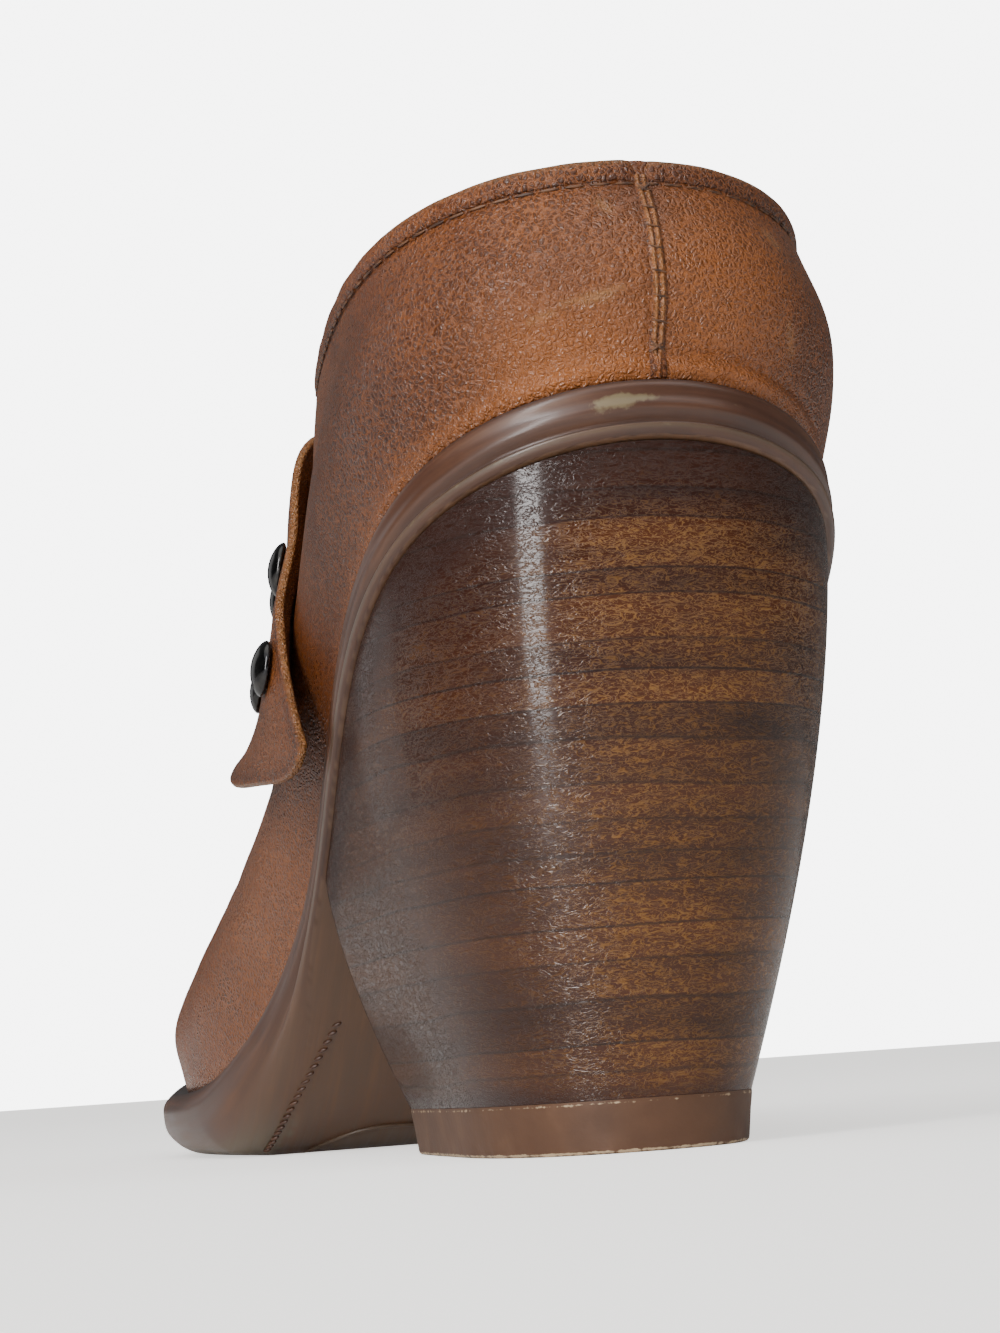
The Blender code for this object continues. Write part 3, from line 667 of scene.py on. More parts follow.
def upperWall():
    rises, climb = wallClimb()
    turns, sides = wallTurns[:, None], np.broadcast_to(wallSides[:, None], rises.shape)
    points = wallPoint(turns, rises, sides)
    normals = wallNormal(turns, rises, sides)
    fromEdge = distanceTo(points, collarEdge)
    along, across, height = points[..., 0], points[..., 1], points[..., 2]
    back = 1 - ease(along, *upperForm["backFade"])
    offset = upperForm["unevenness"] * (softNoise(points, 19) + 0.5 * softNoise(points, 8, 3.7))
    offset *= ease(fromEdge, *upperForm["smoothEdge"])
    offset += hump(fromEdge, *upperForm["stitchGroove"])
    offset += hump(np.abs(across), *upperForm["seamGroove"]) * back * ease(climb, *upperForm["seamStart"])
    # one ridge over the band, and tucked under at the sole
    offset += hump(across, *upperForm["seamRunOut"]) * back * hump(climb, 1, *upperForm["runOutEnd"])
    offset += hump(climb, *upperForm["tuck"])
    inner = ease(-across, *upperForm["pleatStart"]) * (1 - ease(-across, *upperForm["pleatEnd"]))
    inner *= 1 - ease(along, *upperForm["pleatFade"])
    for pleat in upperForm["innerPleat"]:
        offset += inner * hump(climb + upperForm["pleatSlope"] * across, *pleat)
    drawn = 1 - ease(along, *upperForm["lipFade"])  # puckered lip where the back is drawn over the sole
    pucker = 1 + upperForm["lipPucker"] * softNoise(points, 2.4, 6.6)
    offset += drawn * hump(climb, *upperForm["drawnLip"]) * pucker
    for middle, lean, bow, depth, width in upperForm["flexCreases"]:
        swung = across - upperForm["creaseMiddle"]
        gap = along - (middle + lean * swung - bow * swung**2)
        crease = 0.6 * bell(gap - 1.6 * width, width) - bell(gap, 0.6 * width)
        offset += ease(height, *upperForm["creaseFade"]) * depth * crease
    seamWear = back * ease(climb, *upperForm["seamWearStart"])
    # painted shade darkens the outer side, the grooves and the crease at the sole, among burnished patches;
    # painted highlights lighten where the leather shines
    burnish = spots(points, upperForm["burnishSpots"]) + hump(fromEdge, *upperForm["burnishAtStitches"])
    burnish += seamWear * hump(np.abs(across), *upperForm["burnishAtSeam"])
    burnish += hump(climb, *upperForm["burnishAtSole"])
    glow = spots(points, upperForm["glowSpots"]) + hump(climb, *upperForm["glowAtSole"])
    values = {
        "burnish": np.clip(burnish, 0, 1),
        "glow": np.clip(glow, 0, 1),
        "scuff": rubbed(points, upperForm["rubs"]),
        "rim": np.zeros_like(offset),
    }
    return crowned(points + normals * offset[..., None]), values


def crowned(points):
    # both halves of the vamp pass smoothly over the ridge
    count, rows = len(halfTurns), points.shape[1]
    vamp = onVamp(halfTurns)
    inner, outer = points[:count][::-1][vamp], points[count - 1:][vamp]
    ridgeLine = (inner[:, -1:] + outer[:, -1:]) / 2
    bridge = np.concatenate([inner[:, :-1], ridgeLine, outer[:, -2::-1]], 1)
    reach = np.linalg.norm(bridge - ridgeLine, axis=-1)
    fade = ease(alongOf(halfTurns[vamp]), last["throat"], last["throat"] + upperForm["crownFade"])
    give = 0.5 * bell(reach, upperForm["crownReach"]) * fade[:, None]
    for _ in range(upperForm["crownPasses"]):
        level = (bridge[:, :-2] + bridge[:, 2:]) / 2 - bridge[:, 1:-1]
        bridge[:, 1:-1] += give[:, 1:-1, None] * level
    smooth = points.copy()
    smooth[:count][::-1][vamp] = bridge[:, :rows]
    smooth[count - 1:][vamp] = bridge[:, rows - 1:][:, ::-1]
    return smooth


mesh = bmesh.new()
wallGrid = upperWall()
shapedGrid(mesh, len(wallTurns) - 1, upperForm["rows"], lambda i, j: wallGrid)
bmesh.ops.reverse_faces(mesh, faces=mesh.faces)
skins = [upperLeather, liningLeather]
upper = finishPiece("lastedUpper", mesh, skins, ["upper"], 80, recalc=False)
thicken(upper, upperForm["wall"]).material_offset = 1

foldForm = {
    # section of the turned-over edge: offset from the outer face, distance down from the edge
    "section": [
        (-0.3, 2.9), (0.2, 2.75), (0.42, 2.2), (0.5, 1.3), (0.34, 0.5), (-0.1, -0.1), (-0.85, -0.34),
        (-1.6, -0.1), (-2.05, 0.6), (-2.2, 1.6), (-2.15, 3.0), (-1.2, 3.2),
    ],
    "ringSteps": 28,
    "notch": 1.5,  # the two halves draw in at the back seam
    "notchWidth": 0.9,
    "lump": 0.12,
    "lumpSize": 5.0,
    # darker all over, with painted shade where the lower end of the fold meets the wall
    "burnish": 0.3,
    "burnishBelow": (0.4, 2.9, 0.8),
    "scuff": (0.25, 0.1, 0.5),
}


def collarFrames(columns):
    # edge points with the outward normal and the way down the leather, away from the opening
    turns, sides, ends = wallTurns[columns], wallSides[columns], wallEnds[columns]
    path = wallPoint(turns, ends, sides)
    normal = wallNormal(turns, np.minimum(ends, 0.985), sides)
    tangent = unit(np.gradient(path, axis=0))
    down = unit(np.cross(tangent, normal))
    if down[:, 2].mean() > 0:
        down = -down
    return path, normal, down


def turnedEdge():
    path, normal, down = collarFrames(openColumns)
    normal[0] = normal[-1] = unit(normal[0] + normal[-1])
    down[0] = down[-1] = unit(down[0] + down[-1])
    section = np.array(foldForm["section"], float)
    ring = np.linspace(0, len(section), foldForm["ringSteps"] + 1)
    closed = np.concatenate([section[-2:], section, section[:3]])
    offset, drop = (smoothThrough(np.arange(-2, len(section) + 3), closed[:, k])(ring) for k in (0, 1))
    notch = foldForm["notch"] * bell(path[:, 1], foldForm["notchWidth"]) * (path[:, 0] < 10)
    lump = foldForm["lump"] * softNoise(path, foldForm["lumpSize"], 9.1)
    out = offset[None] + (lump - 0.5 * notch)[:, None]
    fall = drop[None] + (0.8 * notch - 0.5 * lump)[:, None]
    points = path[:, None] + normal[:, None] * out[..., None] + down[:, None] * fall[..., None]
    zero = np.zeros(points.shape[:-1])
    # painted shade where the fold meets the wall
    burnish = zero + foldForm["burnish"] + hump(drop, *foldForm["burnishBelow"])
    scuff = zero + hump(drop, *foldForm["scuff"])
    return points, {"burnish": burnish, "glow": zero, "scuff": scuff, "rim": zero}


mesh = bmesh.new()
foldGrid = turnedEdge()
shapedGrid(mesh, len(openColumns) - 1, foldForm["ringSteps"], lambda i, j: foldGrid)
finishPiece("collarFold", mesh, [upperLeather], weld=5e-5)

stitchForm = {"length": 2.5, "pitch": 3.1, "radius": 0.21, "fromEdge": 3.15, "proud": 0.02}
seamForm = {
    "columns": 22,
    "rows": 130,
    "half": 1.05,
    "ridge": 0.34,  # two welts side by side
    "ridgeAt": 0.42,
    "ridgeWidth": 0.27,
    "runTogether": (1.5, 4.5),  # both welts are one at the bottom
    "pull": 0.45,  # each cross stitch draws the welts in
    "pullReach": (0.72, 1.0),
    "edgeReach": (0.0, 0.3),
    "edgeSunk": 0.12,
    "wander": 0.1,
    "wanderTurn": 0.5,
    "bottom": 0.2,
    "belowCollar": 2.0,
    "backing": 0.5,
    # painted shade between and beside the welts: size, middle, width
    "valleyShade": (0.8, 0.0, 0.1),
    "flankShade": (0.5, 0.9, 0.16),
    # painted highlight on the welt tops, and pale wear on them
    "weltHighlight": 0.25,
    "weltScuff": 0.3,
    # cross stitches
    "pitch": 3.0,
    "first": 4.2,
    "lastBelow": 2.6,
    "proud": 0.28,
    "radius": 0.14,
    "stitch": (0.0, 1.0, 0.2),
    "knotRadius": 0.168,
    "knot": (0.05, 0.9, 0.7),
}
backLine = wallGrid[0][len(halfTurns) - 1]
backClimb = runLength(backLine)


def atHeight(height):
    return np.stack([np.interp(height, backClimb, backLine[:, k]) for k in range(3)], -1)


def seamDrift(climb):  # the seam is not quite straight
    return seamForm["wander"] * np.sin(climb * seamForm["wanderTurn"])


def backSeam(i, j):
    # the narrow closed seam down the middle of the back
    across = seamForm["half"] * (2 * i / seamForm["columns"] - 1)
    length = backClimb[-1] - seamForm["bottom"] - seamForm["belowCollar"]
    climb = seamForm["bottom"] + length * j / seamForm["rows"]
    points = atHeight(climb)
    apart = ease(climb, *seamForm["runTogether"])
    welts = bell(np.abs(across) - seamForm["ridgeAt"] * apart, seamForm["ridgeWidth"])
    stitched = np.abs((climb - seamForm["first"]) / seamForm["pitch"] % 1 - 0.5) * 2
    pull = seamForm["pull"] * ease(stitched, *seamForm["pullReach"]) * apart
    edge = ease(seamForm["half"] - np.abs(across), *seamForm["edgeReach"])
    points[..., 0] -= seamForm["ridge"] * welts * (1 - pull) - seamForm["edgeSunk"] * (1 - edge)
    points[..., 1] += across + seamDrift(climb)
    # painted shade between and beside the welts, painted highlight on their tops
    burnish = hump(across, *seamForm["valleyShade"]) * apart + hump(np.abs(across), *seamForm["flankShade"])
    values = {
        "burnish": np.clip(burnish, 0, 1),
        "glow": seamForm["weltHighlight"] * welts,
        "scuff": seamForm["weltScuff"] * welts * apart,
        "rim": np.zeros_like(across),
    }
    return points, values


mesh = bmesh.new()
shapedGrid(mesh, seamForm["columns"], seamForm["rows"], backSeam)
bmesh.ops.reverse_faces(mesh, faces=mesh.faces)
seam = finishPiece("backSeam", mesh, [upperLeather], smoothAngle=80, recalc=False)
thicken(seam, seamForm["backing"])


def layThread(mesh, centre, reach, radius):
    # one stitch: a stretched bead whose ends dip into the leather
    start, end = Vector(toWorld(centre - reach)), Vector(toWorld(centre + reach))
    way = end - start
    turn = way.to_track_quat("Z", "Y").to_matrix().to_4x4()
    stretch = Matrix.Diagonal((radius * 0.001, radius * 0.001, way.length / 2, 1))
    matrix = Matrix.Translation((start + end) / 2) @ turn @ stretch
    bmesh.ops.create_uvsphere(mesh, u_segments=8, v_segments=6, radius=1.0, matrix=matrix)


def evenAlong(path, pitch):
    length = runLength(path)
    count = int(length[-1] / pitch)
    return np.interp((np.arange(count) + 0.5) * length[-1] / count, length, np.arange(len(path)))


def atIndex(array, index):
    low = np.clip(np.floor(index).astype(int), 0, len(array) - 2)
    return blend(array[low], array[low + 1], (index - low)[:, None])


mesh = bmesh.new()
path, normal, down = collarFrames(openColumns)
line = path + down * stitchForm["fromEdge"] + normal * stitchForm["proud"]
index = evenAlong(line, stitchForm["pitch"])
middle, way = atIndex(line, index), unit(atIndex(np.gradient(line, axis=0), index))
for centre, direction in zip(middle, way):
    layThread(mesh, centre, direction * stitchForm["length"] / 2, stitchForm["radius"])
# cross stitches over the back seam, with a knot at each end
crossHeights = np.arange(seamForm["first"], backClimb[-1] - seamForm["lastBelow"], seamForm["pitch"])
for height in crossHeights:
    centre = atHeight(height) + (-seamForm["proud"], seamDrift(height), 0)
    layThread(mesh, centre, np.array(seamForm["stitch"]), seamForm["radius"])
    if height in (crossHeights[0], crossHeights[-1]):
        for lean in (-1, 1):
            layThread(mesh, centre, np.array(seamForm["knot"]) * (1, 1, lean), seamForm["knotRadius"])
finishPiece("collarStitching", mesh, [thread], weld=1e-8)

strapForm = {
    "thickness": 2.4,
    "gap": 0.55,
    "edgeRound": 0.6,
    "edgeMiddle": 1.65,
    "skive": 1.1,  # the flesh side is pared away towards the edge
    "skiveReach": 4.0,
    "crown": 0.2,
    "crownReach": (0.5, 5),
    "unevenness": 0.14,
    "unevenSize": 9.0,
    "smoothEdge": (0.3, 1.5),
    "flareRounding": 0.22,
    "dip": 0.3,
    "steps": 190,
    "columns": 44,
    # rear station, rear height, front station, front height, from the neck up
    "edges": [(58, 74, 86, 72), (63, 84.5, 88, 81), (67.5, 97, 92.5, 88.5), (75.5, 106, 98.5, 89.5)],
    "atRidge": (85.5, 105.5),
    # corners of the free end: station, height, reach past the sole line
    "flare": [(43.5, 51, 2.2), (88, 53, 9.4)],
    # darker all over and burnished at the edges; the spots are burnished patches with painted shade on the
    # outer wing; a painted highlight lightens the middle
    "burnish": 0.22,
    "burnishEdge": (0.3, 1.2, 0.6),
    "burnishSpots": [
        (52, 36, 58, 14, 0.45), (78, 38, 60, 14, 0.4), (66, 36, 84, 20, 0.3), (60, -36, 66, 30, 0.3),
    ],
    "glowInside": (0.2, 6.0, 4.0),
    "rawEdge": (0.55, 0.0, 0.3),
    "rawFlesh": 0.3,
}


def girthShares(turn, side):
    rises = np.linspace(0, 1, 61)
    shares = runLength(wallPoint(turn[:, None], rises, side[:, None]), 1)
    return rises, shares / shares[:, -1:]


def girthAt(station, height):
    turn = turnOf(np.array([station]))
    rises, shares = girthShares(turn, np.ones(1))
    return float(np.interp(riseAt(turn, height)[0], rises, shares[0]))


strapRows = [(a, girthAt(a, b), c, girthAt(c, d)) for a, b, c, d in strapForm["edges"]]
strapWhole = strapRows + [(strapForm["atRidge"][0], 1.0, strapForm["atRidge"][1], 1.0)]
strapWhole += [(a, 2 - b, c, 2 - d) for a, b, c, d in reversed(strapRows)]
strapEdges = [smoothThrough(np.linspace(1, 3, 9), [row[k] for row in strapWhole]) for k in range(4)]


def strapOnWall(place, across):
    rear, rearClimb, front, frontClimb = (part(place) for part in strapEdges)
    climb = rearClimb + (frontClimb - rearClimb) * across
    side = np.where(climb <= 1, 1.0, -1.0)
    turn = turnOf(rear + (front - rear) * across)
    rises, shares = girthShares(turn, side)
    wanted = np.minimum(climb, 2 - climb)
    rise = np.array([np.interp(w, row, rises) for w, row in zip(wanted, shares)])
    return wallPoint(turn, rise, side) + wallNormal(turn, rise, side) * strapForm["gap"]


def flareCorner(station, height, reach, side):
    turn = turnOf(station)
    return np.append(edgeAt(turn, side) + outwardAt(turn, side) * reach, height)


def strapPoint(place, across):
    # place is 0 at the outer tip, 1 at its neck, 2 at the ridge and 4 at the inner tip
    # across runs from 0 at the rear edge to 1 at the front edge
    place, across = np.broadcast_arrays(np.asarray(place, float), across)
    flat, over = place.ravel(), across.ravel()
    points = np.zeros((len(flat), 3))
    held = (flat >= 1) & (flat <= 3)
    points[held] = strapOnWall(flat[held], over[held])
    for side, free in ((1.0, flat < 1), (-1.0, flat > 3)):
        if not free.any():
            continue
        a = over[free]
        share = 1 - flat[free] if side > 0 else flat[free] - 3
        share = share * (1 - strapForm["flareRounding"] * (2 * a - 1) ** 4)
        neck = strapOnWall(np.full(len(a), 2 - side), a)
        way = neck - strapOnWall(np.full(len(a), 2 - 0.94 * side), a)
        rear, front = (flareCorner(*corner, side) for corner in strapForm["flare"])
        tip = rear + (front - rear) * a[:, None]
        tip[:, 2] += strapForm["dip"] * np.sin(math.pi * a) ** 2
        bend = neck + unit(way) * 0.5 * np.linalg.norm(tip - neck, axis=1)[:, None]
        s = share[:, None]
        points[free] = neck * (1 - s) ** 2 + bend * 2 * s * (1 - s) + tip * s**2
    return points.reshape(*place.shape, 3)


strapPlaces = 4 * gradedShares(strapForm["steps"], 0.75)
strapColumns = gradedShares(strapForm["columns"], 0.8)
strapRest = strapPoint(strapPlaces[:, None], strapColumns[None])
strapNormals = unit(np.cross(np.gradient(strapRest, axis=0), np.gradient(strapRest, axis=1)))


def roundedEdge(inset, radius):  # quarter-round profile, 0 at the edge and 1 past the radius
    return np.sqrt(np.clip(1 - (1 - np.minimum(inset / radius, 1)) ** 2, 0, 1))


def strapFace(top):
    fromRear, fromTip = runLength(strapRest, 1), runLength(strapRest, 0)
    inset = np.minimum(fromRear, fromRear[:, -1:] - fromRear)
    inset = np.minimum(inset, np.minimum(fromTip, fromTip[-1:] - fromTip))
    swell = roundedEdge(inset, strapForm["edgeRound"])
    skive, middle = strapForm["skive"], strapForm["edgeMiddle"]
    if top:
        crown = strapForm["crown"] * ease(inset, *strapForm["crownReach"])
        crown += strapForm["unevenness"] * softNoise(strapRest, strapForm["unevenSize"], 5.5)
        crown *= ease(inset, *strapForm["smoothEdge"])
        face = middle + (strapForm["thickness"] - middle) * swell + crown
    else:
        face = skive * (1 - ease(inset, 0, strapForm["skiveReach"])) + (middle - skive) * (1 - swell)
    # burnished edges and patches with painted shade on the outer wing, and a painted highlight over the
    # middle of the strap
    burnish = strapForm["burnish"] + hump(inset, *strapForm["burnishEdge"])
    values = {
        "burnish": burnish + spots(strapRest, strapForm["burnishSpots"]),
        "glow": hump(inset, *strapForm["glowInside"]),
        "scuff": np.zeros_like(inset),
        "rim": hump(inset, *strapForm["rawEdge"]) + (0 if top else strapForm["rawFlesh"]),
    }
    return strapRest + strapNormals * face[..., None], {k: np.clip(v, 0, 1) for k, v in values.items()}


mesh = bmesh.new()
for top in (True, False):
    strapGrid = strapFace(top)
    shapedGrid(mesh, strapForm["steps"], strapForm["columns"], lambda i, j: strapGrid)
bmesh.ops.remove_doubles(mesh, verts=mesh.verts, dist=1e-6)
corners = [vert for vert in mesh.verts if len(vert.link_edges) == 2]  # so that both faces meet in one edge
bmesh.ops.dissolve_verts(mesh, verts=corners)
finishPiece("flaredStrap", mesh, [strapLeather], ["instep_strap"], 70, weld=1e-6)

studForm = {
    "gap": 0.5,
    "sunk": 0.1,
    "steps": 40,
    # place along the strap and share from its rear edge
    "places": {
        "low_rear": (0.72, 0.24),
        "low_front": (0.72, 0.70),
        "high_rear": (1.24, 0.24),
        "high_front": (1.24, 0.74),
    },
    # section in mm: radius, height over the strap
    "section": [
        (0, 0.0), (2.0, -0.1), (3.7, 0.0), (3.95, 0.14), (4.02, 0.38), (3.88, 0.7), (3.5, 1.1), (2.9, 1.5),
        (2.1, 1.85), (1.3, 2.07), (0.6, 2.17), (0, 2.2),
    ],
}


def domedStud(name, place, across):
    nudge = 0.04
    climb = strapPoint(place + nudge, across) - strapPoint(place - nudge, across)
    width = strapPoint(place, across + nudge) - strapPoint(place, across - nudge)
    facing = unit(np.cross(climb, width))
    seat = strapPoint(place, across) + facing * (strapForm["thickness"] + studForm["gap"] - studForm["sunk"])
    mesh = bmesh.new()
    line = [mesh.verts.new((radius * 0.001, 0, height * 0.001)) for radius, height in studForm["section"]]
    for a, b in zip(line, line[1:]):
        mesh.edges.new((a, b))
    bmesh.ops.spin(
        mesh, geom=mesh.verts[:] + mesh.edges[:], cent=(0, 0, 0), axis=(0, 0, 1), angle=2 * math.pi,
        steps=studForm["steps"], use_merge=True,
    )
    axis = Vector((facing[1], -facing[0], facing[2]))
    matrix = Matrix.Translation(Vector(toWorld(seat))) @ axis.to_track_quat("Z", "Y").to_matrix().to_4x4()
    bmesh.ops.transform(mesh, matrix=matrix, verts=mesh.verts)
    return finishPiece("domed_" + name, mesh, [studMetal], [name], 40, weld=1e-6)


for spot, (place, across) in studForm["places"].items():
    domedStud("stud_outer_" + spot, place, across)
    domedStud("stud_inner_" + spot, 4 - place, across)

soleForm = {
    "stations": 260,
    "sideRows": 40,
    "underRows": 56,
    "topRows": 6,
    "bandHeight": 7.4,
    # share of the drop, reach past the sole line at the heel, and at the forefoot
    "side": [
        (0, 0.6, 2.2), (0.1, 1, 3.4), (0.34, 1.1, 4), (0.62, 1, 3.3), (0.75, 0.5, 2.15), (0.82, 1.25, 1.3),
        (0.92, 1.3, -0.6), (0.97, 1.1, -3.2), (1, 0.7, -7),
    ],
    "forefoot": (72, 112),
    "bandFade": (60, 95),  # the band around the heel seat ends in the shank
    # worn lip, and painted shade at the top of the band and in its groove: size, middle and width as shares
    # of the drop
    "lip": (1.0, 0.88, 0.055),
    "topShade": (0.8, 0.0, 0.06),
    "grooveShade": (0.6, 0.75, 0.035),
    "lipWear": 0.38,
    "lipTread": 0.28,
    # chipped paint on the back: strength, across, width, share of the drop, height
    "chips": [(0.85, 5.5, 4.2, 0.42, 0.24), (0.5, -6, 9, 0.36, 0.07)],
    "chipsBehind": 6,
    # worn lower edge, and the brushed lower edge that is also lightened as painted light: strength, shares of
    # the drop
    "treadEdge": (0.75, 0.75, 1.0),
    "treadStart": (100, 118),
    "underEdge": (0.9, 0.55, 0.95),
    # edge of the worn tread under the ball: across, along
    "wornLine": [
        (-46, 128), (-38, 120.6), (-29, 113.5), (-22, 111.5), (-13.5, 112), (-4, 113.3), (2, 112), (10, 110),
        (15, 110.3), (22, 114.8), (27, 122), (33, 131),
    ],
    "wornStep": 0.25,
    "wornStepEdge": (-0.6, 1.2),
    "wornStepStart": (85, 105),
    "wornStepSides": (0, 0.05),  # shares of the width
    "wornStepOver": 0.6,
    "wornTone": 0.15,
    "treadTone": 0.6,
    "treadReach": (0, 26),
    "borderSteps": 150,
    "borderSides": 8,
    "borderRadius": 0.32,
    # moulded stitch line: along, across
    "channels": [
        [(88, 24.2), (92, 25.6), (101, 28.4), (113, 30.6), (121, 31.4)],
        [(94, -17.5), (98, -22.5), (105.5, -30), (113, -35.4), (121, -39)],
    ],
    "channelPitch": 1.5,
    "channelStitch": (0.55, 0.5),  # half of a stitch, along and across its line
    "channelRadius": 0.34,
    "channelProud": 0.05,
    "wornBelow": 0.5,
}
sideTable, wornTable = (np.array(soleForm[k], float) for k in ("side", "wornLine"))
heelReach = smoothThrough(sideTable[:, 0], sideTable[:, 1])
forefootReach = smoothThrough(sideTable[:, 0], sideTable[:, 2])
wornEdge = smoothThrough(wornTable[:, 0], wornTable[:, 1])


def underside(along):
    return np.maximum(undersideCurve(along), 0)


def soleLevel(turn, side, drop):
    reach = blend(heelReach(drop), forefootReach(drop), ease(alongOf(turn), *soleForm["forefoot"]))
    plan = edgeAt(turn, side) + outwardAt(turn, side) * reach[..., None]
    top = seatHeight(plan[..., 0]) - last["fitGap"]
    return raised(plan, top + (underside(plan[..., 0]) - top) * drop)


soleTurns = evenTurns(0.0, 1.0, soleForm["stations"])
soleDrops = gradedShares(soleForm["sideRows"], 0.55)


def soleSide(i, j):
    count = soleForm["stations"]
    outer = i <= count
    turn = soleTurns[np.where(outer, i, 2 * count - i)]
    drop = soleDrops[j]
    points = soleLevel(turn, np.where(outer, 1.0, -1.0), drop)
    along, across = points[..., 0], points[..., 1]
    heelPart = 1 - ease(along, *soleForm["bandFade"])
    lip = hump(drop, *soleForm["lip"]) * heelPart
    worn = soleForm["lipWear"] * lip
    for strength, place, width, level, tall in soleForm["chips"]:
        chip = hump(across, strength, place, width) * bell(drop - level, tall)
        worn += chip * (along < soleForm["chipsBehind"])
    (treadMost, *treadEdge), (underMost, *underEdge) = soleForm["treadEdge"], soleForm["underEdge"]
    tread = treadMost * ease(drop, *treadEdge) * ease(along, *soleForm["treadStart"])
    # painted shade where the band meets the upper and in its groove
    shade = hump(drop, *soleForm["topShade"]) + hump(drop, *soleForm["grooveShade"]) * heelPart
    values = {
        "worn": np.clip(worn, 0, 1),
        "tread": tread + soleForm["lipTread"] * lip,
        "edgeDark": np.clip(shade, 0, 1),
        "under": underMost * ease(drop, *underEdge) * (1 - heelPart),
        "band": drop * soleForm["bandHeight"],
    }
    return points, values


def soleUnder(i, j):
    turn = soleTurns[i]
    share = gradedShares(soleForm["underRows"], 0.35)[j]
    full, none = np.ones_like(turn), np.zeros_like(turn)
    points = blend(soleLevel(turn, full, full), soleLevel(turn, -full, full), share[..., None])
    pastEdge = points[..., 0] - wornEdge(points[..., 1])
    past = ease(pastEdge, *soleForm["wornStepEdge"])
    inside = ease(np.minimum(share, 1 - share), *soleForm["wornStepSides"])
    inside *= ease(points[..., 0], *soleForm["wornStepStart"]) * (points[..., 2] > soleForm["wornStepOver"])
    points[..., 2] += soleForm["wornStep"] * (1 - past) * inside
    tread = soleForm["wornTone"] * past + soleForm["treadTone"] * ease(pastEdge, *soleForm["treadReach"])
    return points, {"worn": none, "edgeDark": none, "under": full, "tread": tread}


def soleTop(i, j):
    turn = soleTurns[i]
    full, none = np.ones_like(turn), np.zeros_like(turn)
    share = (j / soleForm["topRows"])[..., None]
    points = blend(soleLevel(turn, full, none), soleLevel(turn, -full, none), share)
    # the top face is dark all over, painted shade in the gap under the upper
    return points, {"worn": none, "edgeDark": full, "under": none, "tread": none}


def treadBorder(i, j):
    # a thin bead along the edge of the worn tread, laid on the floor where the sole touches it
    share = i / soleForm["borderSteps"]
    across = blend(wornTable[0, 0], wornTable[-1, 0], share)
    along = wornEdge(across)
    radius = soleForm["borderRadius"] * np.minimum(1, 30 * share * (1 - share))
    angle = 2 * math.pi * j / soleForm["borderSides"]
    height = np.maximum(underside(along), soleForm["borderRadius"])
    none = np.zeros_like(across)
    points = np.stack([along + radius * np.cos(angle), across, height + radius * np.sin(angle)], -1)
    return points, {"worn": none, "edgeDark": none + 0.25, "under": none + 1, "tread": none + 0.3}


mesh = bmesh.new()
shapedGrid(mesh, 2 * soleForm["stations"], soleForm["sideRows"], soleSide)
shapedGrid(mesh, soleForm["stations"], soleForm["underRows"], soleUnder)
shapedGrid(mesh, soleForm["stations"], soleForm["topRows"], soleTop)
finishPiece("mouldedSole", mesh, [soleFinish], ["outsole"], 55, weld=3e-5)

mesh = bmesh.new()
for channel in soleForm["channels"]:
    table = np.array(channel, float)
    run = runLength(table)
    bends = [smoothThrough(run, table[:, k]) for k in (0, 1)]
    for step in np.arange(0, run[-1], soleForm["channelPitch"]):
        here, ahead = (np.array([bend(step + more) for bend in bends]) for more in (0, 0.5))
        way = unit(ahead - here)
        onward, sideways = soleForm["channelStitch"]
        reach = way * onward + np.array([-way[1], way[0]]) * sideways
        tips = [here - reach, here + reach]
        start, end = (np.append(tip, underside(tip[0]) - soleForm["channelProud"]) for tip in tips)
        if min(start[2], end[2]) > soleForm["wornBelow"]:  # worn away where the tread touches the floor
            layThread(mesh, (start + end) / 2, (end - start) / 2, soleForm["channelRadius"])
shapedGrid(mesh, soleForm["borderSteps"], soleForm["borderSides"], treadBorder)
finishPiece("soleStitchLine", mesh, [soleFinish], weld=1e-6)

stackForm = {
    "sideColumns": 84,
    "frontColumns": 34,
    "rows": 70,
    "cornerPasses": 4,
    "cornerColumns": 4,
    # darker under the sole and over the lift: size, middle and width, and painted shade that darkens the
    # outer side
    "darkTop": (0.85, 1.5, 5.5),
    "darkFoot": (0.5, 6.2, 2.2),
    "outerShade": 0.5,
    "outerShadeFrom": (6, 22),
}
stackRing = 2 * stackForm["sideColumns"] + stackForm["frontColumns"]


def liftOutline(share, grow):
    depth, bent, power = heelForm["liftDepth"], heelForm["roundShare"], 2 / heelForm["liftRoundness"]
    middle = heelForm["liftMiddle"] * depth
    wide, front = heelForm["liftWidth"] / 2 + grow, heelForm["breastWidth"] / 2 + grow
    angle = np.clip(share / bent, 0, 1) * math.pi / 2
    step = np.clip((share - bent) / (1 - bent), 0, 1)
    along = middle - (middle + grow) * np.maximum(np.cos(angle), 0) ** power
    along = along + (depth + grow * 0.4 - middle) * step
    across = wide * np.sin(angle) ** power + (front - wide) * step**1.5
    return along, across


def liftLevel(share, side, grow, height):
    along, across = liftOutline(share, grow)
    return np.stack(np.broadcast_arrays(along, heelForm["liftOffset"] + side * across, height), -1)


openTurns = throatTurn * np.sin(np.linspace(0, 1, heelForm["stations"]) * math.pi / 2)
breastTurn = float(turnOf(heelForm["breastTop"]))
heelTurns = np.append(openTurns[openTurns < breastTurn - 0.004], breastTurn)


def heelLevel(share, side, height):
    # between the lift's outline below and the sole's underside above
    foot = liftLevel(share, side, heelForm["liftFlare"], heelForm["liftHeight"] + last["fitGap"])
    turn = np.interp(share * (len(heelTurns) - 1), np.arange(len(heelTurns)), heelTurns)
    plan = edgeAt(turn, side) + outwardAt(turn, side) * (sideTable[-1, 1] - heelForm["inset"])
    seat = raised(plan, underside(plan[..., 0]) - last["fitGap"])
    spread = 1 - (1 - height) ** heelForm["convexity"]
    return foot + (seat - foot) * np.stack([height, spread, height], -1)


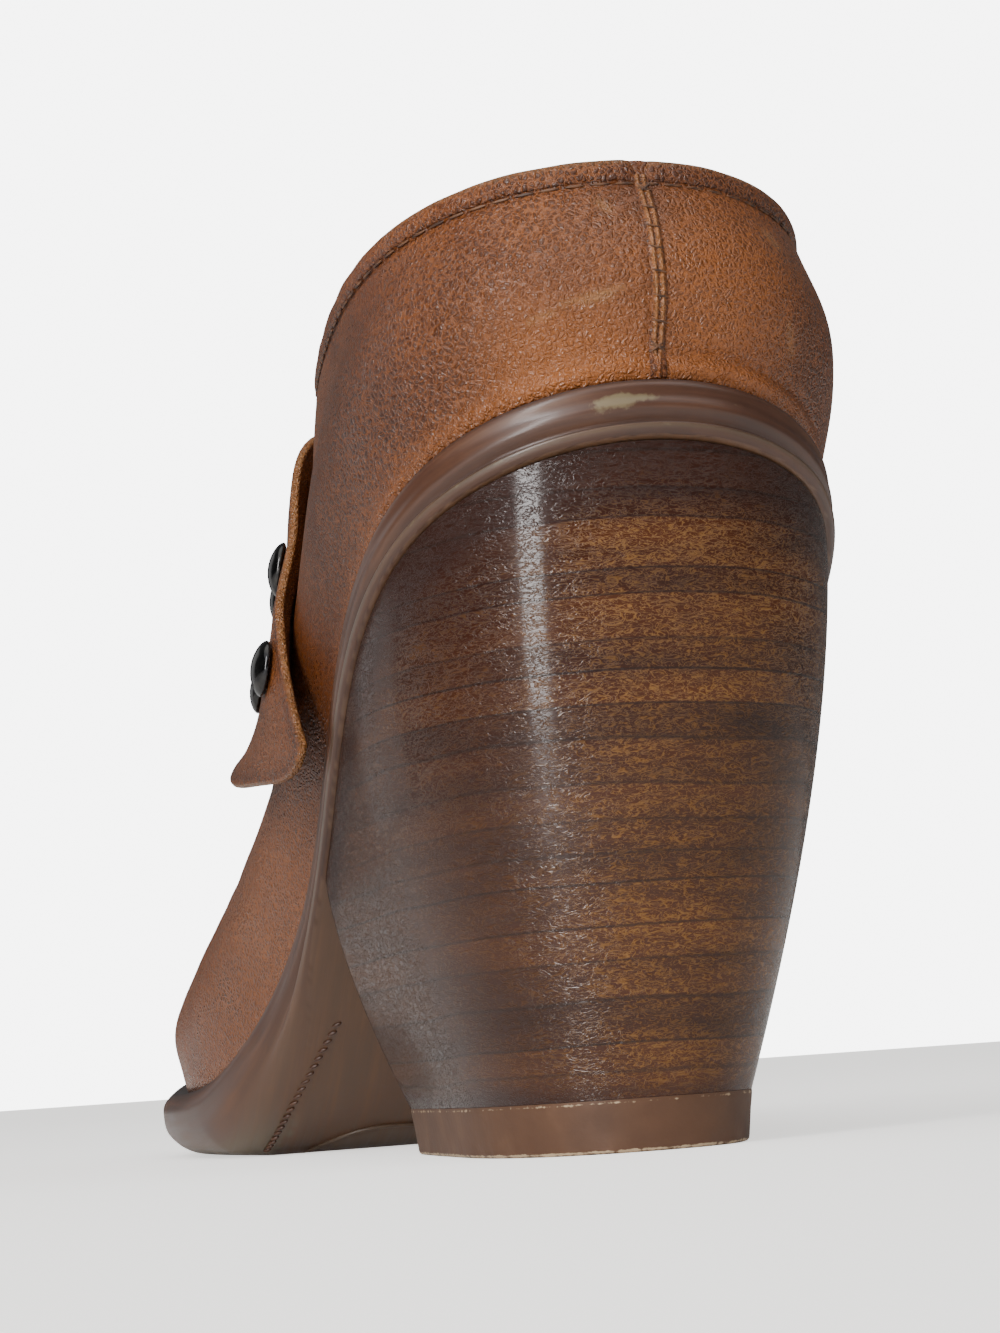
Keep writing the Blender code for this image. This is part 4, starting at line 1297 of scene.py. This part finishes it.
def ringPoints(level, i, *more):
    # outer side from the back, straight front, inner side to the back again, with eased front corners
    side, front = stackForm["sideColumns"], stackForm["frontColumns"]
    outerShare = np.clip(i / side, 0, 1)
    innerShare = np.clip((stackRing - i) / side, 0, 1)
    over = np.clip((i - side) / front, 0, 1)[..., None]
    one = np.ones(np.shape(i))
    points = blend(level(outerShare, one, *more), level(innerShare, -one, *more), over)
    corner = np.minimum(np.abs(i - side), np.abs(i - side - front)) < stackForm["cornerColumns"]
    for _ in range(stackForm["cornerPasses"]):
        eased = (np.roll(points, 1, 0) + 2 * points + np.roll(points, -1, 0)) / 4
        points = np.where(corner[..., None], eased, points)
    return points


def heelSide(i, j):
    points = ringPoints(heelLevel, i, j / stackForm["rows"])
    along, across, height = points[..., 0], points[..., 1], points[..., 2]
    most, solid, width = stackForm["darkTop"]
    dark = most * bell(np.maximum(underside(along) - height - solid, 0), width)
    dark += hump(height, *stackForm["darkFoot"])
    # painted shade: the outer side is darker
    dark += stackForm["outerShade"] * ease(across, *stackForm["outerShadeFrom"])
    return points, {"edgeDark": np.clip(dark, 0, 1)}


mesh = bmesh.new()
shapedGrid(mesh, stackRing, stackForm["rows"], heelSide)
closeHoles(mesh)
finishPiece("stackedHeel", mesh, [heelLeather], ["heel"], 50)

liftForm = {
    # height, growth of the outline
    "side": [
        (0.0, -0.55), (0.08, -0.2), (0.3, 0.0), (0.6, 0.06), (2.0, 0.25), (4.0, 0.5), (5.4, 0.74), (5.9, 0.8),
        (6.26, 0.8),
    ],
    "bottomRows": 22,
    "bottomMiddle": 31.0,
    # ragged cut and pale rims: size, middle and width in height
    "burr": (0.22, 0.4, 0.4),
    "burrGrain": 1.6,
    "rims": [(0.7, 0.25, 0.35), (0.6, 6.0, 0.3)],
    # pale rim of the bottom, less of it in front
    "wornRim": 0.75,
    "wornReach": 1.2,
    "wornUneven": 0.8,
    "wornGrain": 3.0,
    "wornLoss": 0.6,
    "wornFade": (48, 60),
}
liftTable = np.array(liftForm["side"], float)


def liftSide(i, j):
    height, grow = liftTable[j, 0], liftTable[j, 1]
    points = ringPoints(liftLevel, i, grow, height)
    ragged = np.stack([softNoise(points, liftForm["burrGrain"], seed) for seed in (1.1, 7.3)], -1)
    points[..., :2] += hump(height, *liftForm["burr"])[..., None] * ragged
    return points, {"rim": np.clip(sum(hump(height, *rim) for rim in liftForm["rims"]), 0, 1)}


def liftBottom(i, j):
    edge, _ = liftSide(i, np.zeros_like(j))
    share = (j / liftForm["bottomRows"])[..., None]
    middle = np.array([liftForm["bottomMiddle"], heelForm["liftOffset"], 0.0])
    points = edge + (middle - edge) * share**1.6
    inset = np.linalg.norm(points - edge, axis=-1)
    reach = liftForm["wornReach"] + liftForm["wornUneven"] * softNoise(points, liftForm["wornGrain"], 4.4)
    back = 1 - liftForm["wornLoss"] * ease(points[..., 0], *liftForm["wornFade"])
    return points, {"rim": np.clip(liftForm["wornRim"] * back * bell(inset, reach), 0, 1)}


mesh = bmesh.new()
shapedGrid(mesh, stackRing, len(liftTable) - 1, liftSide)
shapedGrid(mesh, stackRing, liftForm["bottomRows"], liftBottom)
closeHoles(mesh)
finishPiece("rubberLift", mesh, [liftFinish], ["top_lift"], 40)

sockForm = {
    "inset": 2.4,
    "thickness": 2.4,
    "edgeRound": 1.2,
    "crown": 0.2,
    "crownReach": (1, 12),
    "unevenness": 0.1,
    "unevenSize": 12.0,
    "mostSwell": 0.25,
    "stations": 150,
    "rows": 30,
}


def sockFace(i, j, top):
    turn = soleTurns[np.rint(i / sockForm["stations"] * soleForm["stations"]).astype(int)]
    share = gradedShares(sockForm["rows"], 0.6)[j]
    edges = []
    for side in (np.ones_like(turn), -np.ones_like(turn)):
        plan = edgeAt(turn, side) - outwardAt(turn, side) * sockForm["inset"]
        edges.append(raised(plan, seatHeight(plan[..., 0])))
    points = blend(*edges, share[..., None])
    inset = np.minimum(share, 1 - share) * np.linalg.norm(edges[0] - edges[1], axis=-1)
    ends = np.minimum(points[..., 0] - edges[0][0, 0, 0], edges[0][-1, 0, 0] - points[..., 0])
    swell = roundedEdge(np.minimum(inset, np.abs(ends)), sockForm["edgeRound"])
    half = sockForm["thickness"] / 2
    bed = sockForm["crown"] * ease(inset, *sockForm["crownReach"])
    bed += sockForm["unevenness"] * softNoise(points, sockForm["unevenSize"], 8.8)
    points[..., 2] += half + swell * (half + np.minimum(bed, sockForm["mostSwell"]) if top else -half)
    return points, {}


mesh = bmesh.new()
for top in (True, False):
    shapedGrid(mesh, sockForm["stations"], sockForm["rows"], lambda i, j: sockFace(i, j, top))
finishPiece("leatherSock", mesh, [sockLeather], ["insole"], 60, weld=3e-5)

# pale floor, soft window light from behind, and the camera at the photograph's side of the shoe
studio = {
    "floorReach": 30.0,
    "floorColour": "#f1efec",
    "worldColour": "#f6f6f6",
    # emission as seen and as cast, so that bright paper lights the shoe only a little
    "floorGlow": (1.2, 0.1),
    "backdrop": (7.0, 0.13),
}


def seenOrCast(tree, seen, cast):
    direct = addNode(tree, "LightPath", {}, out="Is Camera Ray")
    return addNode(tree, "Mix", {0: direct, 2: cast, 3: seen}, data_type="FLOAT")


mesh = bmesh.new()
bmesh.ops.create_grid(mesh, x_segments=8, y_segments=8, size=studio["floorReach"])
floorData = bpy.data.meshes.new("studioFloor")
mesh.to_mesh(floorData)
mesh.free()
floor = bpy.data.objects.new("studioFloor", floorData)
bpy.context.scene.collection.objects.link(floor)
floorMaterial, tree, shader, mm = newMaterial("paperFloor")  # matte pale paper
floorTone = linear(studio["floorColour"])
floorGlow = seenOrCast(tree, *studio["floorGlow"])
feed(tree, shader, {"Base Color": floorTone, "Roughness": 0.8})
feed(tree, shader, {"Emission Color": floorTone, "Emission Strength": floorGlow})
floorData.materials.append(floorMaterial)

world = bpy.data.worlds.new("studio")
world.use_nodes = True
tree = world.node_tree
backdropGlow = seenOrCast(tree, *studio["backdrop"])
feed(tree, tree.nodes["Background"], {"Color": linear(studio["worldColour"]), "Strength": backdropGlow})
bpy.context.scene.world = world

# name, place, aim, width, height, watts
softLights = [
    ("windowBehind", (0.50, 0.54, 0.31), (0.0, 0.08, 0.05), 0.15, 0.62, 5.6),
    ("windowOuter", (0.55, -0.78, 0.34), (0.03, 0.09, 0.05), 0.42, 0.6, 0.45),
    ("fillInner", (-0.7, 0.9, 1.1), (0.0, 0.05, 0.05), 0.8, 0.8, 2.6),
]
for name, place, aim, width, height, watts in softLights:
    light = bpy.data.lights.new(name, "AREA")
    light.shape, light.size, light.size_y, light.energy = "RECTANGLE", width, height, watts
    lamp = bpy.data.objects.new(name, light)
    lamp.location = place
    lamp.rotation_euler = (Vector(aim) - Vector(place)).to_track_quat("-Z", "Y").to_euler()
    bpy.context.scene.collection.objects.link(lamp)

skyForm = {"from": (0.25, 0.5, 1.3), "strength": 1.65, "spreadDegrees": 80.0}
sky = bpy.data.lights.new("skyAbove", "SUN")
sky.energy, sky.angle = skyForm["strength"], math.radians(skyForm["spreadDegrees"])
skyLamp = bpy.data.objects.new("skyAbove", sky)
skyLamp.rotation_euler = (-Vector(skyForm["from"])).to_track_quat("-Z", "Y").to_euler()
bpy.context.scene.collection.objects.link(skyLamp)

cameraForm = {"place": (0.109, 0.400, 0.010), "aim": (0.010, 0.045, 0.068), "lens": 70.0, "rollDegrees": -4.0}
cameraData = bpy.data.cameras.new("camera")
cameraData.sensor_fit = "AUTO"
cameraData.sensor_width = 36.0
cameraData.lens = cameraForm["lens"]
cameraData.clip_start = 0.01
camera = bpy.data.objects.new("camera", cameraData)
look = Vector(cameraForm["aim"]) - Vector(cameraForm["place"])
camera.matrix_world = (
    Matrix.Translation(cameraForm["place"])
    @ look.to_track_quat("-Z", "Y").to_matrix().to_4x4()
    @ Matrix.Rotation(math.radians(cameraForm["rollDegrees"]), 4, "Z")
)
bpy.context.scene.collection.objects.link(camera)
bpy.context.scene.camera = camera

print("scene finished")
